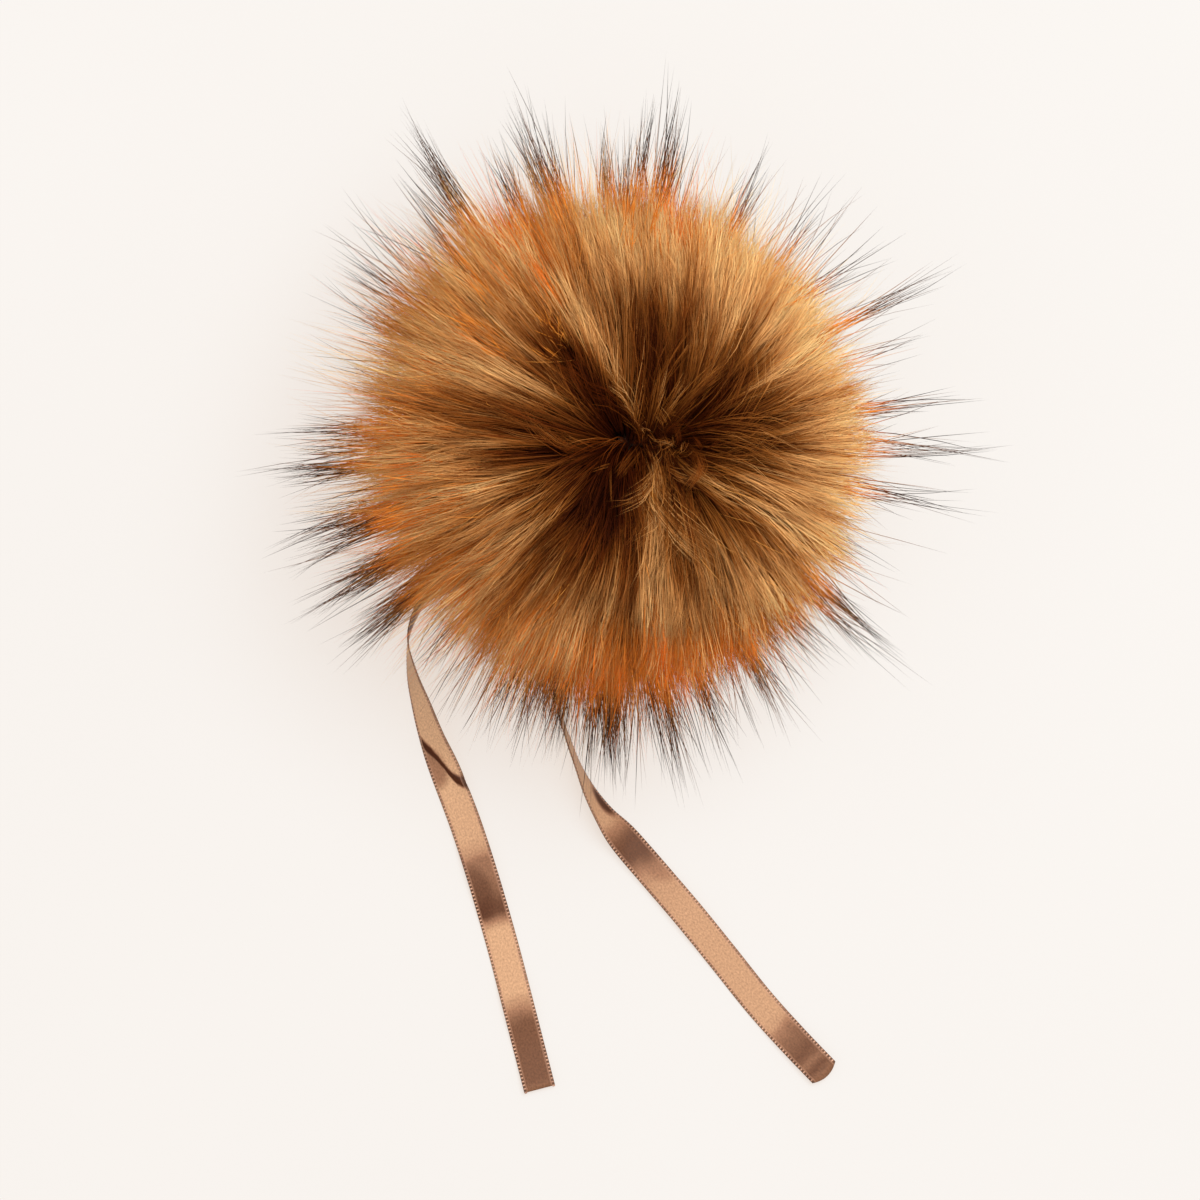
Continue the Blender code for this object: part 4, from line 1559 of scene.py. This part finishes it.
@dataclass
class RibbonTail:
    """One tail of the ribbon: a thin satin strip with thread wound over both edges."""

    name: str
    node: Node
    route: TailRoute
    finish: SatinFinish
    thread: SelvedgeFinish
    across: int = 10
    satin_half: float = 0.15
    edge_share: float = 0.55
    cord_points: int = 30
    pitch: float = 0.82
    stitch_radius: float = 0.24
    stitch_half: float = 0.34
    stitch_blunt: float = 0.22
    stitch_run: float = 0.24
    stitch_corners: int = 5
    crease_height: float = 0.7
    crease_spread: float = 1.3
    crease_fade: float = 0.2
    end_bulge: float = 0.0
    end_depth: float = 3.0

    def section(self) -> list[Pair]:
        """Gives the strip's section, as shares of its width and heights off its middle, once round."""
        half = self.satin_half
        places = [index / self.across for index in range(self.across + 1)]
        upper = [(share, half * (self.edge_share if share in (0.0, 1.0) else 1.0)) for share in places]
        lower = [(share, -height) for share, height in reversed(upper)]
        return upper + lower

    def crease_rise(self, share: float, from_end: float) -> float:
        """Gives how far the crease lifts the strip off its middle surface at one place."""
        if not self.finish.crease:
            return 0.0
        places, distances = zip(*self.finish.crease)
        line = np.interp(share, places, distances)
        height = self.crease_height * min(1.0, share / self.crease_fade)
        return height * math.exp(-((from_end - line) / self.crease_spread) ** 2)

    def strip(self) -> bpy.types.Object:
        """Builds the satin strip as one closed mesh with its own map."""
        middles, across, out = self.route.frames()
        section = self.section()
        width = self.route.width
        scale = self.finish.map_length
        runs = self.route.runs()
        from_end = runs[-1] - runs
        mesh = bpy.data.meshes.new(self.name)
        work = bmesh.new()
        layer = work.loops.layers.uv.new(RIBBON_MAP)
        rings = []
        for middle, side, face, left in zip(middles, across, out, from_end):
            ring = []
            onward = np.cross(side, face) * self.end_bulge * max(0.0, 1.0 - left / self.end_depth)
            for share, height in section:
                lift = height + self.crease_rise(share, left)
                place = middle + side * (share - 0.5) * width + face * lift
                ring.append(work.verts.new((place + onward * 4.0 * share * (1.0 - share)) * MM))
            rings.append(ring)
        for index, (ring, following) in enumerate(zip(rings, rings[1:])):
            for corner in range(len(section)):
                after = (corner + 1) % len(section)
                quad = work.faces.new((ring[corner], ring[after], following[after], following[corner]))
                places = ((corner, 0), (after, 0), (after, 1), (corner, 1))
                for loop, (at, step) in zip(quad.loops, places):
                    loop[layer].uv = (section[at][0] * width / scale, from_end[index + step] / scale)
                quad.smooth = True
        for ring, place in ((rings[0][::-1], from_end[0]), (rings[-1], 0.0)):
            cap = work.faces.new(ring)
            for loop in cap.loops:
                loop[layer].uv = (0.5 * width / scale, place / scale)
        bmesh.ops.recalc_face_normals(work, faces=work.faces)
        work.to_mesh(mesh)
        work.free()
        return placed(self.name, mesh, self.finish.material())

    def stitches(self) -> bpy.types.Object:
        """Builds the wound thread: one small bead after another along both edges."""
        rows = self.route.frames()
        runs = self.route.runs()
        work = bmesh.new()
        for place in np.arange(self.pitch / 2.0, runs[-1], self.pitch):
            at, side, face = (np.array([np.interp(place, runs, row[:, axis]) for axis in range(3)])
                              for row in rows)
            side, face = unit(side), unit(face)
            run = np.cross(side, face)
            for edge in (-1.0, 1.0):
                centre = at + side * edge * (self.route.width / 2.0 - self.stitch_half)
                self.bead(work, centre, run, side, face)
        name = f"{self.name}_selvedge"
        mesh = bpy.data.meshes.new(name)
        work.to_mesh(mesh)
        work.free()
        return placed(name, mesh, self.thread.material())

    def bead(self, work: bmesh.types.BMesh, centre: np.ndarray, run: np.ndarray, side: np.ndarray,
             face: np.ndarray) -> None:
        """Adds one turn of the thread as a small blunt spindle across the edge."""
        corners = self.stitch_corners
        half = self.stitch_half
        ends = [work.verts.new((centre + side * reach) * MM) for reach in (-half, half)]
        rings = []
        for reach in (-self.stitch_blunt, self.stitch_blunt):
            ring = []
            for corner in range(corners):
                turn = 2.0 * math.pi * corner / corners
                onward = run * self.stitch_run * math.cos(turn)
                offset = onward + face * self.stitch_radius * math.sin(turn)
                ring.append(work.verts.new((centre + side * reach + offset) * MM))
            rings.append(ring)
        inner, outer = rings
        for corner in range(corners):
            after = (corner + 1) % corners
            work.faces.new((inner[corner], inner[after], outer[after], outer[corner]))
            work.faces.new((outer[corner], outer[after], ends[1]))
            work.faces.new((inner[after], inner[corner], ends[0]))

    def build(self) -> None:
        strip = self.strip()
        stitches = self.stitches()
        middles = self.route.middles()
        picked = np.linspace(0, len(middles) - 1, self.cord_points).round().astype(int)
        path = [tuple(float(value) * MM for value in middles[index]) for index in picked]
        length = float(self.route.runs()[-1]) * MM
        adopt(strip, Slot.SATIN, self.node)
        adopt(stitches, Slot.SATIN, self.node)
        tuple(path[0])
        log.info("%s: %.1f mm long, %d triangles", self.name, length / MM, triangles_in(strip))


# ---------------------------------------------------------------- studio


@dataclass(frozen=True)
class FloorFinish:
    """The warm white paper that the pompom lies on, whose glow keeps the fur's shadow pale and warm."""

    name: str = "warm_white_paper"
    low: Colour = (0.132, 0.175, 0.203)
    high: Colour = (0.139, 0.183, 0.212)
    unevenness: float = 6.0
    roughness: float = 0.95
    specular: float = 0.1
    glow: Colour = (1.0, 0.853, 0.745)
    glow_strength: float = 0.728

    def material(self) -> bpy.types.Material:
        """Makes the material with a barely uneven white."""
        material, nodes, shader = new_material(self.name)
        uneven = nodes.noise(nodes.place(), self.unevenness)
        nodes.feed(shader, {
            "Base Color": nodes.ramp(uneven, ((0.3, self.low), (0.7, self.high))),
            "Roughness": self.roughness,
            "Specular IOR Level": self.specular,
            "Emission Color": (*self.glow, 1.0),
            "Emission Strength": self.glow_strength,
        })
        return material


@dataclass
class Studio:
    """Floor, soft light and a camera straight above."""

    finish: FloorFinish = field(default_factory=FloorFinish)
    floor_size: float = 4000.0
    world_strength: float = 0.74
    key_power: float = 31.0
    key_place: Triple = (420.0, 380.0, 1500.0)
    key_size: float = 1300.0
    world_colour: Colour = (1.0, 0.99, 0.98)
    key_colour: Colour = (1.0, 0.985, 0.96)
    camera_place: Triple = (-3.2, -34.3, 1000.0)
    lens: float = 135.8
    sensor: float = 36.0

    def floor(self) -> None:
        """Lays the paper."""
        deselect_all()
        bpy.ops.mesh.primitive_plane_add(size=self.floor_size * MM, location=(0, 0, 0))
        paper = bpy.context.active_object
        paper.name = "paper_floor"
        paper.data.materials.append(self.finish.material())

    def lights(self) -> None:
        """Lights the room evenly, with a large soft light from the upper right."""
        world = bpy.context.scene.world or bpy.data.worlds.new("soft_room")
        bpy.context.scene.world = world
        world.use_nodes = True
        background = world.node_tree.nodes["Background"]
        background.inputs["Color"].default_value = (*self.world_colour, 1.0)
        background.inputs["Strength"].default_value = self.world_strength
        data = bpy.data.lights.new("key_light", "AREA")
        data.energy = self.key_power
        data.size = self.key_size * MM
        data.color = self.key_colour
        key = bpy.data.objects.new("key_light", data)
        place = np.array(self.key_place) * MM
        key.location = place
        tilt = math.atan2(math.hypot(place[0], place[1]), place[2])
        key.rotation_euler = (0.0, tilt, math.atan2(place[1], place[0]))
        bpy.context.collection.objects.link(key)

    def camera(self) -> None:
        """Puts the camera where the photograph was taken from, looking straight down."""
        data = bpy.data.cameras.new("camera")
        data.lens = self.lens
        data.sensor_width = self.sensor
        camera = bpy.data.objects.new("camera", data)
        camera.location = tuple(value * MM for value in self.camera_place)
        bpy.context.collection.objects.link(camera)
        bpy.context.scene.camera = camera

    def build(self) -> None:
        """Builds the studio."""
        self.floor()
        self.lights()
        self.camera()
        bpy.context.scene.view_settings.view_transform = "Standard"
        bpy.context.scene.view_settings.look = "None"


# ---------------------------------------------------------------- the whole


# The tails' painted sheen and ovals of painted shade, by distance in mm from the cut end.
LEFT_SATIN = SatinFinish(
    "ribbon_left_satin",
    painted_sheen=rows_of(
        Change,
        (0, 0.26), (2, 0.165), (15, 0.165), (17, 0.30), (19, 0.54), (22, 0.81), (36.5, 0.83),
        (38, 0.53), (39.8, 0.09), (42, 0.10), (45, 0.23), (49, 0.32), (52.4, 0.34), (54, 0.60),
        (57, 0.80), (64, 0.88), (70, 0.95), (80, 0.92), (90, 0.98), (96, 0.92), (103, 0.84),
        (112, 0.70), (155, 0.40),
    ),
    shades=rows_of(
        Shade,
        (0.15, 45.5, 0.60, 7.0, 0.55), (0.20, 74.8, 0.46, 5.4, 0.52), (1.0, 107.5, 0.90, 5.0, 0.92),
    ),
    crease=rows_of(
        CreasePoint,
        (0.0, 82.0), (0.15, 80.5), (0.36, 78.2), (0.50, 75.6), (0.59, 73.2), (0.70, 71.2), (0.84, 70.0),
        (1.0, 69.4),
    ),
)
RIGHT_SATIN = SatinFinish(
    "ribbon_right_satin",
    painted_sheen=rows_of(
        Change,
        (0, 0.26), (1, 0.21), (2.1, 0.10), (3, 0.24), (4, 0.31), (5, 0.18), (6.3, 0.135), (9, 0.22),
        (11, 0.28), (13, 0.41), (15, 0.64), (17, 0.715), (47, 0.715), (55, 0.66), (58.5, 0.54),
        (60, 0.42), (62, 0.20), (63.4, 0.11), (67, 0.11), (68.6, 0.18), (70, 0.33), (74, 0.75),
        (92, 0.88), (98, 0.75), (145, 0.35),
    ),
    shades=rows_of(
        Shade,
        (0.90, 77.6, 0.40, 4.8, 0.96), (0.95, 58.6, 0.65, 5.2, 0.26), (0.95, 12.5, 0.45, 3.0, 0.20),
    ),
)


def main() -> None:
    """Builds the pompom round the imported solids, with its studio."""
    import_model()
    form = BallForm()
    ground = Ground()
    Studio().build()
    thread = SelvedgeFinish()
    RibbonTail("ribbon_left", Node.LEFT_TAIL, LEFT_ROUTE, LEFT_SATIN, thread).build()
    RibbonTail("ribbon_right", Node.RIGHT_TAIL, RIGHT_ROUTE, RIGHT_SATIN, thread, end_bulge=1.1).build()
    Backing(form, BackingFinish()).build()
    LongPile(form, ground, DyeAndPaintedShade(form), PileFinish()).build()
    WhorlCurls(form, PileFinish("dyed_curl")).build()
    GuardHairs(form, ground, GuardFinish()).build()


if __name__ == "__main__":
    logging.basicConfig(level=logging.INFO, format="%(name)s: %(message)s")
    main()
